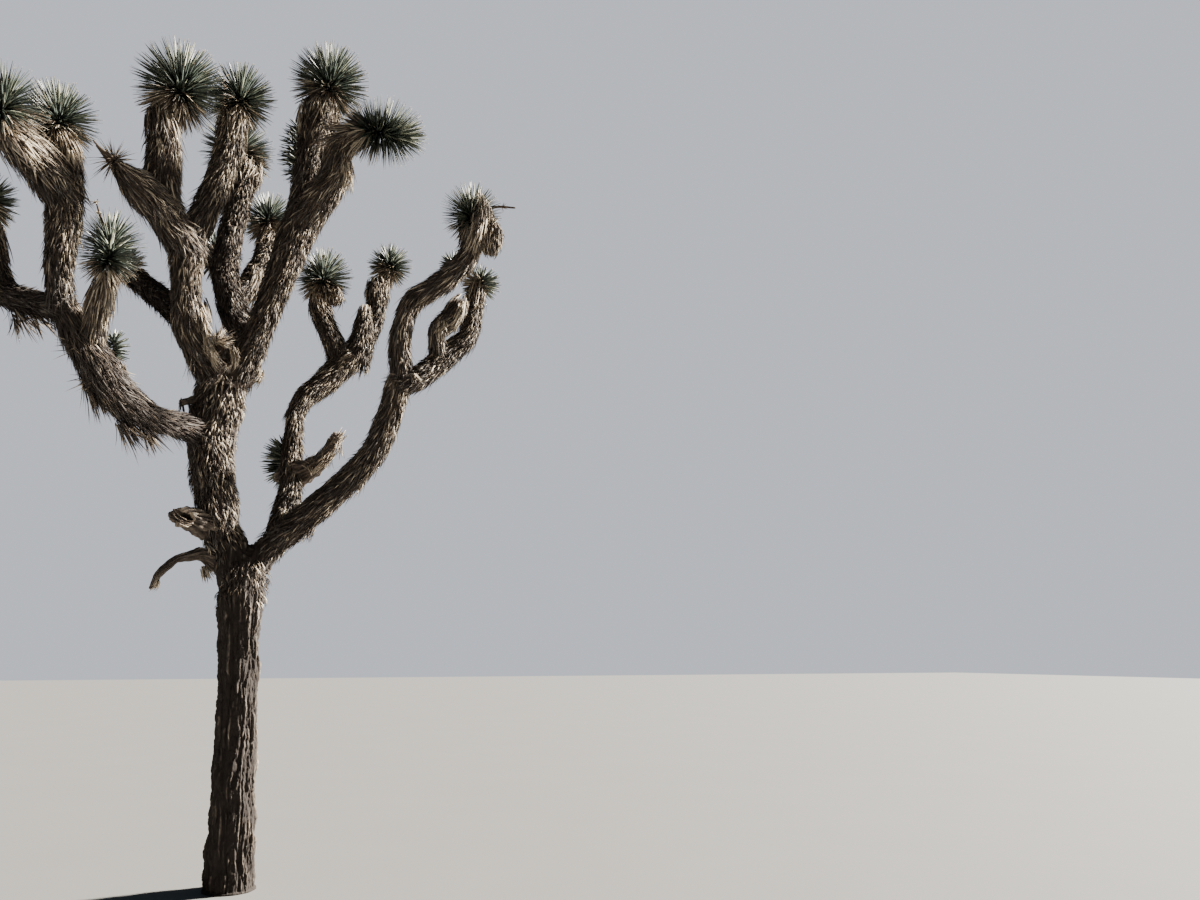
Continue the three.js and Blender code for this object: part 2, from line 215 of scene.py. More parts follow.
# The masses of leaves, as the part has them, each with the limb that it grows on
HEADS = [
    Head("head_west_tip", "west", "west_tip", (-1.7, -1.15, 4.86), 0.87),
    Head("head_west_side", "west", "west_side", (-1.47, -0.78, 5.03), 0.85),
    Head("head_west_spur", "west", "west_spur", (-1.03, -1.0, 4.075), 0.71, stretch=1.2),
    Head("head_far_west", "west", "far_west_mast", (-1.945, -0.25, 4.61), 0.7),
    Head("tuft_west", "west", "west_bough_high", (-1.015, -0.52, 3.555), 0.36, stretch=1.3),
    Head("head_back_west", "middle", "back_west_limb", (-1.26, 1.05, 4.8), 0.63),
    Head("head_middle_left", "middle", "middle_left", (-0.795, -0.5, 5.62), 1.08),
    Head("head_middle_right", "middle", "middle_right", (-0.405, -0.25, 5.775), 0.9),
    Head("head_back_stem", "back", "back_stem", (-0.45, 0.85, 5.93), 1.04),
    Head("head_back_left", "back", "back_left", (-0.54, 0.85, 4.92), 0.76),
    Head("head_back_east", "back", "back_east", (-0.155, 1.2, 5.485), 0.85),
    Head("head_high_left", "high", "high_left", (0.255, -0.02, 6.225), 1.06),
    Head("head_high_arm", "high", "high_arm", (0.67, -0.65, 5.485), 0.88, axis=(1, 0, 0), stretch=1.2),
    Head("head_high_back", "high", "high_back_limb", (0.06, 0.45, 5.8), 0.58, stretch=1.85),
    Head("head_east_inner", "east", "east_inner_high", (1.325, -0.82, 4.845), 0.77),
    Head("tuft_east", "east", "east_inner_high", (1.24, -0.6, 4.495), 0.37),
    Head("head_east_outer", "east", "east_outer", (1.577, -0.1, 4.59), 0.56),
    Head("head_inner_west", "inner", "inner_west_limb", (0.36, 1.0, 4.915), 0.89),
    Head("head_inner_east", "inner", "inner_east_limb", (0.975, 1.18, 5.2), 0.71),
    Head("tuft_inner", "inner", "inner_bough_low", (0.12, 0.42, 3.06), 0.52, stretch=1.4),
]

FAMILIES = ("west", "middle", "high", "back", "east", "inner")

# Seeds of the bark's drift and of the first piece of each kind
SEEDS = {"bark": 1795683173, "thatch": 100, "thatch_bark": 120, "leaves": 200, "broken": 300, "masses": 400}

# The way that the side of the tree faces on which bark and dead leaves are painted paler, as painted
# sunlight; on the far side they are painted darker, as painted shade
PAINTED_LIGHT_SIDE = Vector((0.98, -0.17, 0.1))

# Most that a limb's middle may lie outside its node's box, which shows that this table and the part agree
AGREEMENT = 0.03


def unit(vectors):
    """The vectors at length one."""
    return vectors / np.maximum(np.linalg.norm(vectors, axis=-1, keepdims=True), 1e-9)


def rays(axis, turn, beside=(0.37, 0.61, -0.7)):
    """The ways square to an axis at each turn round it. Beside is any way that the axis doesn't take."""
    side = unit(np.cross(axis, beside))
    return side * np.cos(turn)[:, None] + np.cross(axis, side) * np.sin(turn)[:, None]


def ease(values, low, high):
    """Nought below low, one above high, and a smooth rise between."""
    t = np.clip((values - low) / (high - low), 0, 1)
    return t * t * (3 - 2 * t)


def smooth_line(bends, kink=0.0, pieces=24):
    """Points on a smooth curve through the bends, rounder where the bends lie far apart. A kink
    above nought draws the curve towards straight pieces from bend to bend."""
    knots = np.array(bends, float)
    knots = np.vstack([2 * knots[0] - knots[1], knots, 2 * knots[-1] - knots[-2]])
    gaps = np.sqrt(np.linalg.norm(np.diff(knots, axis=0), axis=1))
    t = np.linspace(0, 1, pieces, endpoint=False)[:, None]
    line = []
    for i in range(1, len(knots) - 2):
        before, start, end, after = knots[i - 1:i + 3]
        first, middle, last = gaps[i - 1:i + 2]
        leave = middle * ((start - before) / first - (end - before) / (first + middle)) + end - start
        arrive = end - start - middle * ((after - start) / (middle + last) - (after - end) / last)
        square = 3 * (end - start) - 2 * leave - arrive
        cube = 2 * (start - end) + leave + arrive
        curve = start + leave * t + square * t**2 + cube * t**3
        line.append(curve + kink * (start + (end - start) * t - curve))
    return np.vstack(line + [knots[-2][None]])


class Spine:
    """The middle line of a limb, read by the length along it."""

    def __init__(self, limb):
        self.limb = limb
        self.places = smooth_line(limb.bends, limb.kink)
        steps = np.linalg.norm(np.diff(self.places, axis=0), axis=1)
        self.marks = np.concatenate([[0], np.cumsum(steps)])
        self.length = self.marks[-1]
        self.tangents = unit(np.gradient(self.places, self.marks, axis=0))
        self.sides = self.carry_side()

    def carry_side(self):
        """A direction square to the limb, carried along it without twisting."""
        side = np.cross(self.tangents[0], (0.3, 1, 0.2))
        sides = []
        for tangent in self.tangents:
            side = side - tangent * side.dot(tangent)
            side = side / np.linalg.norm(side)
            sides.append(side)
        return np.array(sides)

    def girth(self, along):
        """The limb's radius at each length along it."""
        held = np.clip(along, 0, self.length) / self.length
        return np.interp(held, np.linspace(0, 1, len(self.limb.radii)), self.limb.radii)

    def read(self, along):
        """Place, tangent and side at each length. Past either end the limb runs on straight."""
        held = np.clip(along, 0, self.length)

        def at(values):
            return np.stack([np.interp(held, self.marks, values[:, axis]) for axis in range(3)], -1)

        tangent = unit(at(self.tangents))
        side = at(self.sides)
        side = unit(side - tangent * np.sum(side * tangent, -1, keepdims=True))
        return at(self.places) + tangent * (along - held)[..., None], tangent, side

    def spokes(self, along, angle):
        """Place, tangent and outward spoke at each length and angle round the limb."""
        place, tangent, side = self.read(along)
        lift = np.cross(tangent, side)
        spoke = side * np.cos(angle)[..., None] + lift * np.sin(angle)[..., None]
        return place, tangent, spoke


SPINES = {limb.name: Spine(limb) for limb in LIMBS}


def check_agreement():
    """Stop if the limbs or heads of this script aren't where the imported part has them."""
    middles = [(limb.name, limb.bends[len(limb.bends) // 2]) for limb in LIMBS]
    for name, place in middles + [(head.name, head.centre) for head in HEADS]:
        low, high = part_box(name)
        outside = max(max(low[i] - place[i], place[i] - high[i]) for i in range(3))
        if outside > AGREEMENT:
            raise RuntimeError(f"{name} lies {outside:.3f} m outside its box in the packed part")


# Depth inside the other limbs, for leaving out what they would hide

PROBE_STEP = 0.03


def probe_limbs():
    """Places and radii all along every limb, with the number of its limb."""
    places, radii, owners = [], [], []
    for number, spine in enumerate(SPINES.values()):
        marks = np.arange(0, spine.length, PROBE_STEP)
        places.append(spine.read(marks)[0])
        radii.append(spine.girth(marks))
        owners.append(np.full(len(marks), number))
    return np.vstack(places), np.concatenate(radii), np.concatenate(owners)


PROBES = probe_limbs()


def depth_in_others(points, name, chunk=4000):
    """How deep each point lies inside a limb other than the named one. Outside it is negative."""
    places, radii, owners = PROBES
    other = owners != list(SPINES).index(name)
    places, radii = places[other], radii[other]
    depths = []
    for start in range(0, len(points), chunk):
        gaps = np.linalg.norm(points[start:start + chunk, None] - places[None], axis=2)
        depths.append((radii[None] - gaps).max(axis=1))
    return np.concatenate(depths)


# Settings

class BarkSettings(bpy.types.PropertyGroup):
    """The relief of the trunk, the stem and the low bough."""
    grain: bpy.props.FloatProperty(
        name="Grain", description="Distance between the bark's points", default=0.006, unit="LENGTH")
    ridge: bpy.props.FloatProperty(
        name="Ridge", description="Width of one ridge of bark", default=0.028, unit="LENGTH")
    run: bpy.props.FloatProperty(
        name="Run", description="Length of a ridge of bark", default=0.42, unit="LENGTH")
    furrow: bpy.props.FloatProperty(
        name="Furrow", description="Depth of the furrows between the ridges", default=0.017, unit="LENGTH")
    web: bpy.props.FloatProperty(
        name="Web", description="Reach of the filled corner where limbs fork", default=0.03, unit="LENGTH")
    ridge_color: bpy.props.FloatVectorProperty(
        name="Ridges", description="Weathered outer bark", subtype="COLOR", default=(0.33, 0.262, 0.2))
    flake_color: bpy.props.FloatVectorProperty(
        name="Flakes", description="Palest plates of bark", subtype="COLOR", default=(0.76, 0.67, 0.56))
    # Partly darker bark and partly painted shade in the cracks
    furrow_and_shade_color: bpy.props.FloatVectorProperty(
        name="Furrows", description="Bottom of the furrows", subtype="COLOR", default=(0.022, 0.015, 0.011))
    # Painted shade: the part of its colour that the bark keeps on the side away from the light
    painted_shade_side: bpy.props.FloatProperty(
        name="Painted shade side", description="How light the bark is on the side away from the sun, as a part of the "
        "sunlit side", default=0.25, subtype="FACTOR")


class BrokenSettings(bpy.types.PropertyGroup):
    """The dead limbs that have snapped off."""
    jag: bpy.props.FloatProperty(
        name="Jag", description="How far the torn rims stand in and out", default=0.012, unit="LENGTH")
    old_color: bpy.props.FloatVectorProperty(
        name="Old wood", description="Weathered outside", subtype="COLOR", default=(0.085, 0.064, 0.05))
    torn_color: bpy.props.FloatVectorProperty(
        name="Torn wood", description="Freshly torn wood", subtype="COLOR", default=(0.47, 0.385, 0.295))


class MassSettings(bpy.types.PropertyGroup):
    """The dead heads and the spent stalks."""
    core_color: bpy.props.FloatVectorProperty(
        name="Core", description="Old wood and shade between the dead leaves", subtype="COLOR",
        default=(0.07, 0.048, 0.034))


class ThatchSettings(bpy.types.PropertyGroup):
    """The dead leaves that cloak the limbs."""
    density: bpy.props.FloatProperty(
        name="Density", description="Dead leaves on each square metre of limb", default=3100)
    length: bpy.props.FloatProperty(
        name="Length", description="Length of a dead leaf", default=0.105, unit="LENGTH")
    width: bpy.props.FloatProperty(
        name="Width", description="Width of a dead leaf", default=0.0112, unit="LENGTH")
    stir: bpy.props.FloatProperty(
        name="Stir", description="How far a dead leaf turns round the limb, per metre of its length",
        default=1.5)
    core: bpy.props.FloatProperty(
        name="Core", description="Radius of the woody core, as a part of the limb's", default=0.84,
        subtype="FACTOR")
    stray: bpy.props.FloatProperty(
        name="Stray", description="Part of the dead leaves that stand away", default=0.2, subtype="FACTOR")
    skirt: bpy.props.FloatProperty(
        name="Skirt", description="Length of the dead leaves under a head", default=0.27, unit="LENGTH")


class HeadSettings(bpy.types.PropertyGroup):
    """The living leaves."""
    count: bpy.props.IntProperty(
        name="Leaves", description="Leaves in a head of full vigour", default=560)
    reach: bpy.props.FloatProperty(
        name="Reach", description="Radius of a head of full vigour", default=0.3, unit="LENGTH")
    width: bpy.props.FloatProperty(
        name="Width", description="Width of a leaf", default=0.018, unit="LENGTH")


class StageSettings(bpy.types.PropertyGroup):
    """The floor, the light and the camera."""
    floor_color: bpy.props.FloatVectorProperty(
        name="Floor", description="Plain pale floor", subtype="COLOR", default=(0.2, 0.197, 0.19))
    eye: bpy.props.FloatVectorProperty(
        name="Eye", description="Place of the camera", subtype="TRANSLATION", default=(0, -7.058, 1.55))
    turn: bpy.props.FloatProperty(
        name="Turn", description="How far the camera looks to the right of the tree's foot",
        default=math.radians(20.83), subtype="ANGLE")
    tilt: bpy.props.FloatProperty(
        name="Tilt", description="How far the camera looks up", default=math.radians(12.832),
        subtype="ANGLE")
    lens: bpy.props.FloatProperty(name="Lens", description="Focal length in millimetres", default=27)
    key: bpy.props.FloatProperty(name="Key light", description="Strength of the key light", default=30.0)
    fill: bpy.props.FloatProperty(name="Fill light", description="Strength of the fill", default=0.09)
    backdrop: bpy.props.FloatProperty(name="Backdrop", description="Brightness behind the tree", default=0.75)


# Materials

class Value:
    """A node's output that can be used in sums: each operation adds its Math node."""

    def __init__(self, finish, socket):
        self.finish = finish
        self.socket = socket

    def math(self, operation, first, second):
        return self.finish.add("ShaderNodeMath", {"operation": operation}, {0: first, 1: second})

    def __add__(self, other):
        return self.math("ADD", self, other)

    __radd__ = __add__

    def __mul__(self, other):
        return self.math("MULTIPLY", self, other)

    __rmul__ = __mul__


class Finish:
    """A material, with the one method that adds a node to it."""

    def __init__(self, name, **shader):
        self.material = bpy.data.materials.new(name)
        self.material.use_nodes = True
        self.tree = self.material.node_tree
        self.shader = self.tree.nodes["Principled BSDF"]
        self.feed(self.shader, shader)

    def feed(self, node, values):
        """Give each named or numbered socket its number, its colour or the output that drives it."""
        for key, value in values.items():
            socket = node.inputs[key.replace("_", " ").title() if isinstance(key, str) else key]
            if isinstance(value, Value):
                self.tree.links.new(value.socket, socket)
            else:
                socket.default_value = (*value, 1.0) if self.is_color(socket, value) else value

    @staticmethod
    def is_color(socket, value):
        """Whether the socket takes a colour and the value is one that still lacks its alpha."""
        return socket.type == "RGBA" and len(value) == 3

    def add(self, kind, settings=None, values=None, output=0):
        """Add a node: its settings are set first, then its sockets. Returns one of its outputs."""
        node = self.tree.nodes.new(kind)
        for key, value in (settings or {}).items():
            if key == "stops":
                self.set_stops(node.color_ramp, value)
            else:
                setattr(node, key, value)
        self.feed(node, values or {})
        return Value(self, node.outputs[output])

    @staticmethod
    def set_stops(ramp, stops):
        """Give a colour ramp its stops, each a position and a colour."""
        while len(ramp.elements) < len(stops):
            ramp.elements.new(1.0)
        for element, (position, color) in zip(ramp.elements, stops):
            element.position = position
            element.color = (*color, 1.0)

    def attribute(self, name):
        """A value that the mesh carries at its points."""
        return self.add("ShaderNodeAttribute", {"attribute_name": name}, output="Fac")

    def spots(self, scale, detail, stretch=None):
        """Soft noise in the part's own space, from nought to one. Stretch squeezes it along an axis."""
        place = self.add("ShaderNodeTexCoord", output="Object")
        if stretch:
            place = self.add("ShaderNodeMapping", values={"Vector": place, "Scale": stretch})
        return self.add("ShaderNodeTexNoise", values={"Vector": place, "Scale": scale, "Detail": detail})

    def ramp(self, factor, stops):
        """A colour that changes with a value."""
        return self.add("ShaderNodeValToRGB", {"stops": stops}, {0: factor})

    def mix(self, factor, first, second, blend="MIX"):
        """One colour where the factor is nought, and where it is one the other, or a blend of the two."""
        return self.add("ShaderNodeMix", {"data_type": "RGBA", "blend_type": blend},
                        {0: factor, 6: first, 7: second}, output=2)

    def bump(self, height, distance, strength=1.0):
        """Fine relief from a value, in metres."""
        normal = self.add("ShaderNodeBump", values={"Height": height, "Distance": distance,
                                                    "Strength": strength})
        self.feed(self.shader, {"Normal": normal})


def shade(color, factor):
    """The colour made darker or lighter."""
    return tuple(min(1.0, channel * factor) for channel in color)


def bark_finish(sizes):
    """Dark furrows under weathered plates, each plate of its own tone, with fibres and streaks along it. The
    furrows are partly darker bark and partly painted shade, and painted light makes the side that faces the
    light paler while painted shade darkens the far side."""
    finish = Finish("bark", roughness=0.92)
    ridge, flake, deep = tuple(sizes.ridge_color), tuple(sizes.flake_color), tuple(sizes.furrow_and_shade_color)
    dust = finish.spots(scale=26, detail=5)
    fibres = finish.spots(scale=160, detail=4, stretch=(1, 1, 0.22))
    streaks = finish.spots(scale=52, detail=4, stretch=(1, 1, 0.08))
    plates = finish.ramp(finish.attribute("plate") * 0.7 + dust * 0.45, [
        (0.3, shade(ridge, 0.3)), (0.56, shade(ridge, 0.75)), (0.78, shade(ridge, 1.3)), (0.97, flake)])
    plates = finish.mix(fibres * 0.5, plates, finish.ramp(fibres, [
        (0.42, shade(ridge, 0.25)), (0.7, flake)]))
    plates = finish.mix(0.55, plates, finish.ramp(streaks, [
        (0.43, shade(ridge, 0.2)), (0.56, shade(ridge, 0.8)), (0.67, flake)]))
    # Painted light and shade: the bark is painted paler on the side that faces the light and darker on the
    # side away from it
    normal = finish.add("ShaderNodeNewGeometry", output="Normal")
    painted_light = finish.add("ShaderNodeVectorMath", {"operation": "DOT_PRODUCT"}, {0: normal, 1: PAINTED_LIGHT_SIDE},
                       output="Value")
    painted_shade_factor = finish.ramp(0.5 * painted_light + 0.15 * dust + 0.43, [
        (0.4, (sizes.painted_shade_side,) * 3), (0.66, (1, 1, 1))])
    plates = finish.mix(1.0, plates, painted_shade_factor, "MULTIPLY")
    # The furrows take the furrow colour: partly darker bark and partly painted shade in the cracks
    finish.feed(finish.shader, {"Base Color": finish.mix(1.3 * finish.attribute("furrow"), plates, deep)})
    finish.bump(fibres + 0.5 * dust + streaks, distance=0.004)
    return finish.material


def leaf_finish(name, color, vein, roughness):
    """A leaf's own tone with faint streaks and blotches, and a slight unevenness."""
    finish = Finish(name, roughness=roughness)
    blotch = finish.spots(scale=38, detail=3)
    streak = finish.spots(scale=210, detail=2)
    tone = finish.ramp(blotch * 0.6 + streak * 0.4, [
        (0.3, shade(color, 0.72)), (0.52, color), (0.74, vein)])
    finish.feed(finish.shader, {"Base Color": tone})
    finish.bump(streak, distance=0.0012, strength=0.6)
    return finish.material


def finishes(kind, tones, roughness):
    """One finish for each tone of a kind of leaf."""
    return [leaf_finish(f"{kind}_{name}", color, vein, roughness) for name, color, vein in tones]


# The tones of the leaves: each one's name, its own colour and that of its palest streaks
DEAD_TONES = (
    ("straw", (0.55, 0.465, 0.35), (0.68, 0.6, 0.48)),
    ("tan", (0.215, 0.165, 0.117), (0.31, 0.25, 0.185)),
    ("brown", (0.08, 0.057, 0.04), (0.128, 0.094, 0.068)),
    ("umber", (0.042, 0.031, 0.025), (0.066, 0.05, 0.041)),
    ("grey", (0.14, 0.124, 0.11), (0.22, 0.2, 0.18)),
)
LIVING_TONES = (
    ("deep", (0.02, 0.027, 0.022), (0.034, 0.043, 0.036)),
    ("green", (0.04, 0.052, 0.04), (0.064, 0.079, 0.062)),
    ("blue_green", (0.073, 0.09, 0.077), (0.112, 0.132, 0.116)),
    ("yellow_green", (0.155, 0.17, 0.123), (0.22, 0.235, 0.178)),
    ("cream", (0.42, 0.43, 0.35), (0.54, 0.545, 0.46)),
)
SPINE_TONE = ("leaf_spine", (0.3, 0.21, 0.13), (0.38, 0.28, 0.18))

DEAD_ROUGHNESS, LIVING_ROUGHNESS, SPINE_ROUGHNESS, CORE_ROUGHNESS = 0.85, 0.38, 0.6, 0.95


# Meshes

def put(name, data):
    """A new object of the scene that holds a mesh, a light or a camera."""
    thing = bpy.data.objects.new(name, data)
    bpy.context.scene.collection.objects.link(thing)
    return thing


def finish_piece(name, mesh, materials, replaced=()):
    """Make a mesh a piece that rides on the tree, with its materials and the nodes it stands for."""
    piece = put(name, mesh)
    for material in materials:
        mesh.materials.append(material)
    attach(piece, "root")
    if replaced:
        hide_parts(*replaced)


def mesh_of(bm, name):
    """A mesh of the shape in a bmesh, which is used up."""
    mesh = bpy.data.meshes.new(name)
    bm.to_mesh(mesh)
    bm.free()
    return mesh


def close_ends(bm):
    """Fill the open ends of the shapes in a bmesh."""
    bmesh.ops.holes_fill(bm, edges=[edge for edge in bm.edges if edge.is_boundary])


# How deep a leaf's keel stands, as a part of half its width, and how near points are that are welded
KEEL = 0.5
WELD = 1e-5


def blade_triangles(rings):
    """The triangles of one blade: three corners at each ring, then the point at its tip."""
    triangles = [(0, 2, 1)]
    for ring in range(rings - 1):
        for one, two in ((0, 1), (1, 2), (2, 0)):
            near, far = 3 * ring, 3 * ring + 3
            triangles += [(near + one, near + two, far + two), (near + one, far + two, far + one)]
    last, tip = 3 * rings - 3, 3 * rings
    triangles += [(last, last + 1, tip), (last + 1, last + 2, tip), (last + 2, last, tip)]
    return np.array(triangles)


class Blades:
    """Slender leaves gathered for one mesh. Each is a keeled strip that ends in a point."""

    def __init__(self):
        self.points = []
        self.triangles = []
        self.inks = []
        self.total = 0

    def add(self, middles, facing, half, tones, tip_tone=None):
        """Leaves along rows of points, root to tip, that turn their flat side to facing. Half is half
        their width at each ring, and each tone the number of a leaf's material."""
        count, rings = len(middles), middles.shape[1] - 1
        run = unit(np.diff(middles, axis=1))
        across = unit(np.cross(run, np.broadcast_to(facing, run.shape)))
        keel = np.cross(across, run) * KEEL
        base, half = middles[:, :-1], half[..., None]
        corners = np.stack([base - across * half, base + across * half, base - keel * half], 2)
        points = np.concatenate([corners.reshape(count, 3 * rings, 3), middles[:, -1:]], 1)
        one = blade_triangles(rings)
        starts = self.total + np.arange(count) * (3 * rings + 1)
        inks = np.repeat(np.asarray(tones)[:, None], len(one), 1)
        if tip_tone is not None:
            inks[:, -3:] = tip_tone
        self.points.append(points.reshape(-1, 3))
        self.triangles.append((one[None] + starts[:, None, None]).reshape(-1, 3))
        self.inks.append(inks.ravel())
        self.total += points.shape[0] * points.shape[1]

    def mesh(self, name):
        """All the gathered leaves as one mesh."""
        points, triangles = np.vstack(self.points), np.vstack(self.triangles)
        mesh = bpy.data.meshes.new(name)
        mesh.vertices.add(len(points))
        mesh.vertices.foreach_set("co", points.astype("f").ravel())
        mesh.loops.add(triangles.size)
        mesh.loops.foreach_set("vertex_index", triangles.astype("i").ravel())
        mesh.polygons.add(len(triangles))
        mesh.polygons.foreach_set("loop_start", np.arange(0, triangles.size, 3, dtype="i"))
        mesh.update(calc_edges=True)
        mesh.polygons.foreach_set("material_index", np.concatenate(self.inks).astype("i"))
        mesh.validate()
        return mesh


def tube(bm, spine, columns, step, level=1.0, reach=0.0, foot=False, dome=0.0):
    """A closed sleeve round a limb, at a part of its girth, with a domed tip and a flat foot if asked."""
    dome = dome or 1.5 * step
    rows = max(3, round((spine.length + reach) / step))
    first = bmesh.ops.create_grid(bm, x_segments=columns, y_segments=rows, size=0.5)["verts"]
    spots = np.array([vert.co for vert in first])
    angle = (spots[:, 0] + 0.5) * math.tau
    share = spots[:, 1] + 0.5
    start = 0.0 if foot else -0.5 * float(spine.girth(0.0)) * level
    along = start + share * (spine.length + reach - start)
    place, _, spoke = spine.spokes(along, angle)
    girth = spine.girth(along) * level
    close = np.sqrt(np.clip(1 - ease(share, 1 - dome / spine.length, 1.0) * 0.9, 0.02, 1))
    points = place + spoke * (girth * close)[:, None]
    if foot:
        points[share < 0.5 / rows, 2] = 0.0
    for vert, point in zip(first, points):
        vert.co = point
    bmesh.ops.remove_doubles(bm, verts=first, dist=WELD)
    close_ends(bm)


# Bark

# Length over which the top of the trunk's sleeve closes, inside the fork
TRUNK_DOME = 0.26

# Middle of the fork, and how far from it the skin is eased the most
FORK = Vector((-0.09, 0, 2.2))
FORK_REACH = 0.34

# Rounds of easing that the whole skin takes, and how many more the fork takes
SKIN_ROUNDS, FORK_ROUNDS = 8, 4


def modified(mesh, kind, settings):
    """A new mesh, as a modifier of a kind makes it from this one, which is used up."""
    holder = put("holder", mesh)
    modifier = holder.modifiers.new("change", kind)
    for name, value in settings.items():
        setattr(modifier, name, value)
    graph = bpy.context.evaluated_depsgraph_get()
    changed = bpy.data.meshes.new_from_object(holder.evaluated_get(graph))
    bpy.data.objects.remove(holder)
    bpy.data.meshes.remove(mesh)
    return changed


def bark_blank(names, sizes):
    """The barked limbs grown into one skin: closed sleeves joined by a voxel remesh, then eased."""
    bm = bmesh.new()
    for name in names:
        foot = name == "trunk"
        tube(bm, SPINES[name], 40, 0.03, foot=foot, dome=TRUNK_DOME if foot else 0.0)
    bmesh.ops.recalc_face_normals(bm, faces=bm.faces)
    skin = modified(mesh_of(bm, "bark_blank"), "REMESH", {"mode": "VOXEL", "voxel_size": sizes.grain})
    bm = bmesh.new()
    bm.from_mesh(skin)
    fork = [vert for vert in bm.verts if (vert.co - FORK).length < FORK_REACH]
    for verts, rounds in ((bm.verts, SKIN_ROUNDS), (fork, FORK_ROUNDS)):
        for _ in range(rounds):
            bmesh.ops.smooth_vert(bm, verts=verts, factor=0.5, use_axis_x=True, use_axis_y=True,
                                  use_axis_z=True)
    bm.to_mesh(skin)
    bm.free()
    return skin


def nearest_limb(points, names, chunk=3000):
    """For each point, each limb's signed distance, and where along and across the nearest limb it lies."""
    gaps, coords = [], []
    for name in names:
        spine = SPINES[name]
        marks = np.arange(-0.05, spine.length + 0.05, 0.01)
        places, tangents, sides = spine.read(marks)
        girths = spine.girth(marks)
        gap, coord = [], []
        for start in range(0, len(points), chunk):
            part = points[start:start + chunk]
            reach = np.linalg.norm(part[:, None] - places[None], axis=2)
            best = (reach - girths[None]).argmin(axis=1)
            offset = part - places[best]
            lift = np.cross(tangents[best], sides[best])
            gap.append(reach[np.arange(len(part)), best] - girths[best])
            coord.append(np.stack([np.sum(offset * sides[best], 1), np.sum(offset * lift, 1),
                                   marks[best] + np.sum(offset * tangents[best], 1)], 1))
        gaps.append(np.concatenate(gap))
        coords.append(np.vstack(coord))
    return np.stack(gaps, 1), np.stack(coords, 1)


def cracked(x, y, z, width, run, opening=0.3):
    """Plates of bark of a width and a length: how deep the crack is at a spot, and its plate's tone."""
    near, centres = noise.voronoi(Vector((x / width, y / width, z / run)))[:2]
    crack = min(1.0, (near[1] - near[0]) / opening)
    tone = 0.5 + 0.5 * noise.cell(centres[0] * 7.3 + Vector((3.1, 1.7, 9.2)))
    return 1 - crack * crack, tone


# How far the plates of bark differ in height, the part of the relief that the slender low bough has, how far
# to either side of a crease two limbs share theirs, and the pace and height of the lumps under it all
PLATE_STEP = 0.007
BOUGH_RELIEF = 0.6
CREASE = 0.09
LUMPS = ((3.1, 0.014), (9, 0.008))


def bark_relief(spot, place, sizes):
    """Height of the bark at one spot, how deep in a furrow it lies, and the tone of its plate."""
    drift = noise.noise_vector(place * 4) * 0.02 + noise.noise_vector(place * 21) * 0.006
    x, y, z = spot[0] + drift[0], spot[1] + drift[1], spot[2] + drift[2]
    furrow, _ = cracked(x, y, z, sizes.ridge, sizes.run, 0.5)
    cleft, _ = cracked(x + 5, y, z, 3.4 * sizes.ridge, 2 * sizes.run, 0.2)
    block, tone = cracked(x, y + 5, z, 0.9 * sizes.ridge, 3.2 * sizes.ridge, 0.22)
    chip, lit = cracked(x + 3, y + 5, z, 0.42 * sizes.ridge, 2.4 * sizes.ridge)
    height = -sizes.furrow * (0.85 * furrow + 0.7 * cleft**2 + 0.26 * block + 0.14 * chip)
    height += PLATE_STEP * (tone - 0.5)
    # The second value darkens the furrows in the material, partly darker bark and partly painted shade
    return height, max(furrow, 0.9 * cleft**2, 0.6 * block, 0.4 * chip), 0.65 * tone + 0.35 * lit


def shape_bark(mesh, names, sizes):
    """Raise the relief on the smooth skin, and note its furrows and plates for the material."""
    count = len(mesh.vertices)
    points, normals = np.zeros(count * 3, "f"), np.zeros(count * 3, "f")
    mesh.vertices.foreach_get("co", points)
    mesh.vertex_normals.foreach_get("vector", normals)
    points = points.reshape(-1, 3).astype(float)
    normals = normals.reshape(-1, 3).astype(float)
    gaps, coords = nearest_limb(points, names)
    rows = np.arange(count)
    order = np.argsort(gaps, axis=1)
    first, second = order[:, 0], order[:, 1]
    apart = gaps[rows, second] - gaps[rows, first]
    share = np.clip(0.5 - apart / CREASE, 0, 0.5)
    heights, furrows, plates = np.zeros(count), np.zeros(count), np.zeros(count)
    for i in range(count):
        place = Vector(points[i])
        parts = [(first[i], 1 - share[i])] + ([(second[i], share[i])] if share[i] > 0 else [])
        for limb, weight in parts:
            height, dark, tone = bark_relief(coords[i, limb], place, sizes)
            relief = BOUGH_RELIEF if names[limb] == "east_bough_low" else 1.0
            heights[i] += weight * relief * height
            furrows[i] += weight * dark
            plates[i] += weight * tone
        heights[i] += sum(size * noise.noise(place * pace) for pace, size in LUMPS)
    heights += 0.2 * sizes.web * np.clip(1 - apart / sizes.web, 0, 1) ** 2
    points += normals * (heights * ease(points[:, 2], 0.0, 0.02))[:, None]
    points[:, 2] = np.maximum(points[:, 2], 0.0)
    mesh.vertices.foreach_set("co", points.astype("f").ravel())
    for name, values in (("furrow", furrows), ("plate", plates)):
        mesh.attributes.new(name, "FLOAT", "POINT").data.foreach_set("value", values.astype("f"))
    mesh.shade_smooth()


def cut_level(mesh, name, level, keep_above):
    """A closed copy of the part of a mesh that lies above or below a level."""
    bm = bmesh.new()
    bm.from_mesh(mesh)
    bmesh.ops.bisect_plane(bm, geom=bm.verts[:] + bm.edges[:] + bm.faces[:], dist=1e-6,
                           plane_co=(0, 0, level), plane_no=(0, 0, 1),
                           clear_outer=not keep_above, clear_inner=keep_above)
    close_ends(bm)
    return mesh_of(bm, name)


# Height at which the bark is cut in two pieces, and the part of its faces that the upper one keeps, where
# dead leaves hide most of it
BARK_SEAM = 2.02
FORK_FACES = 0.42


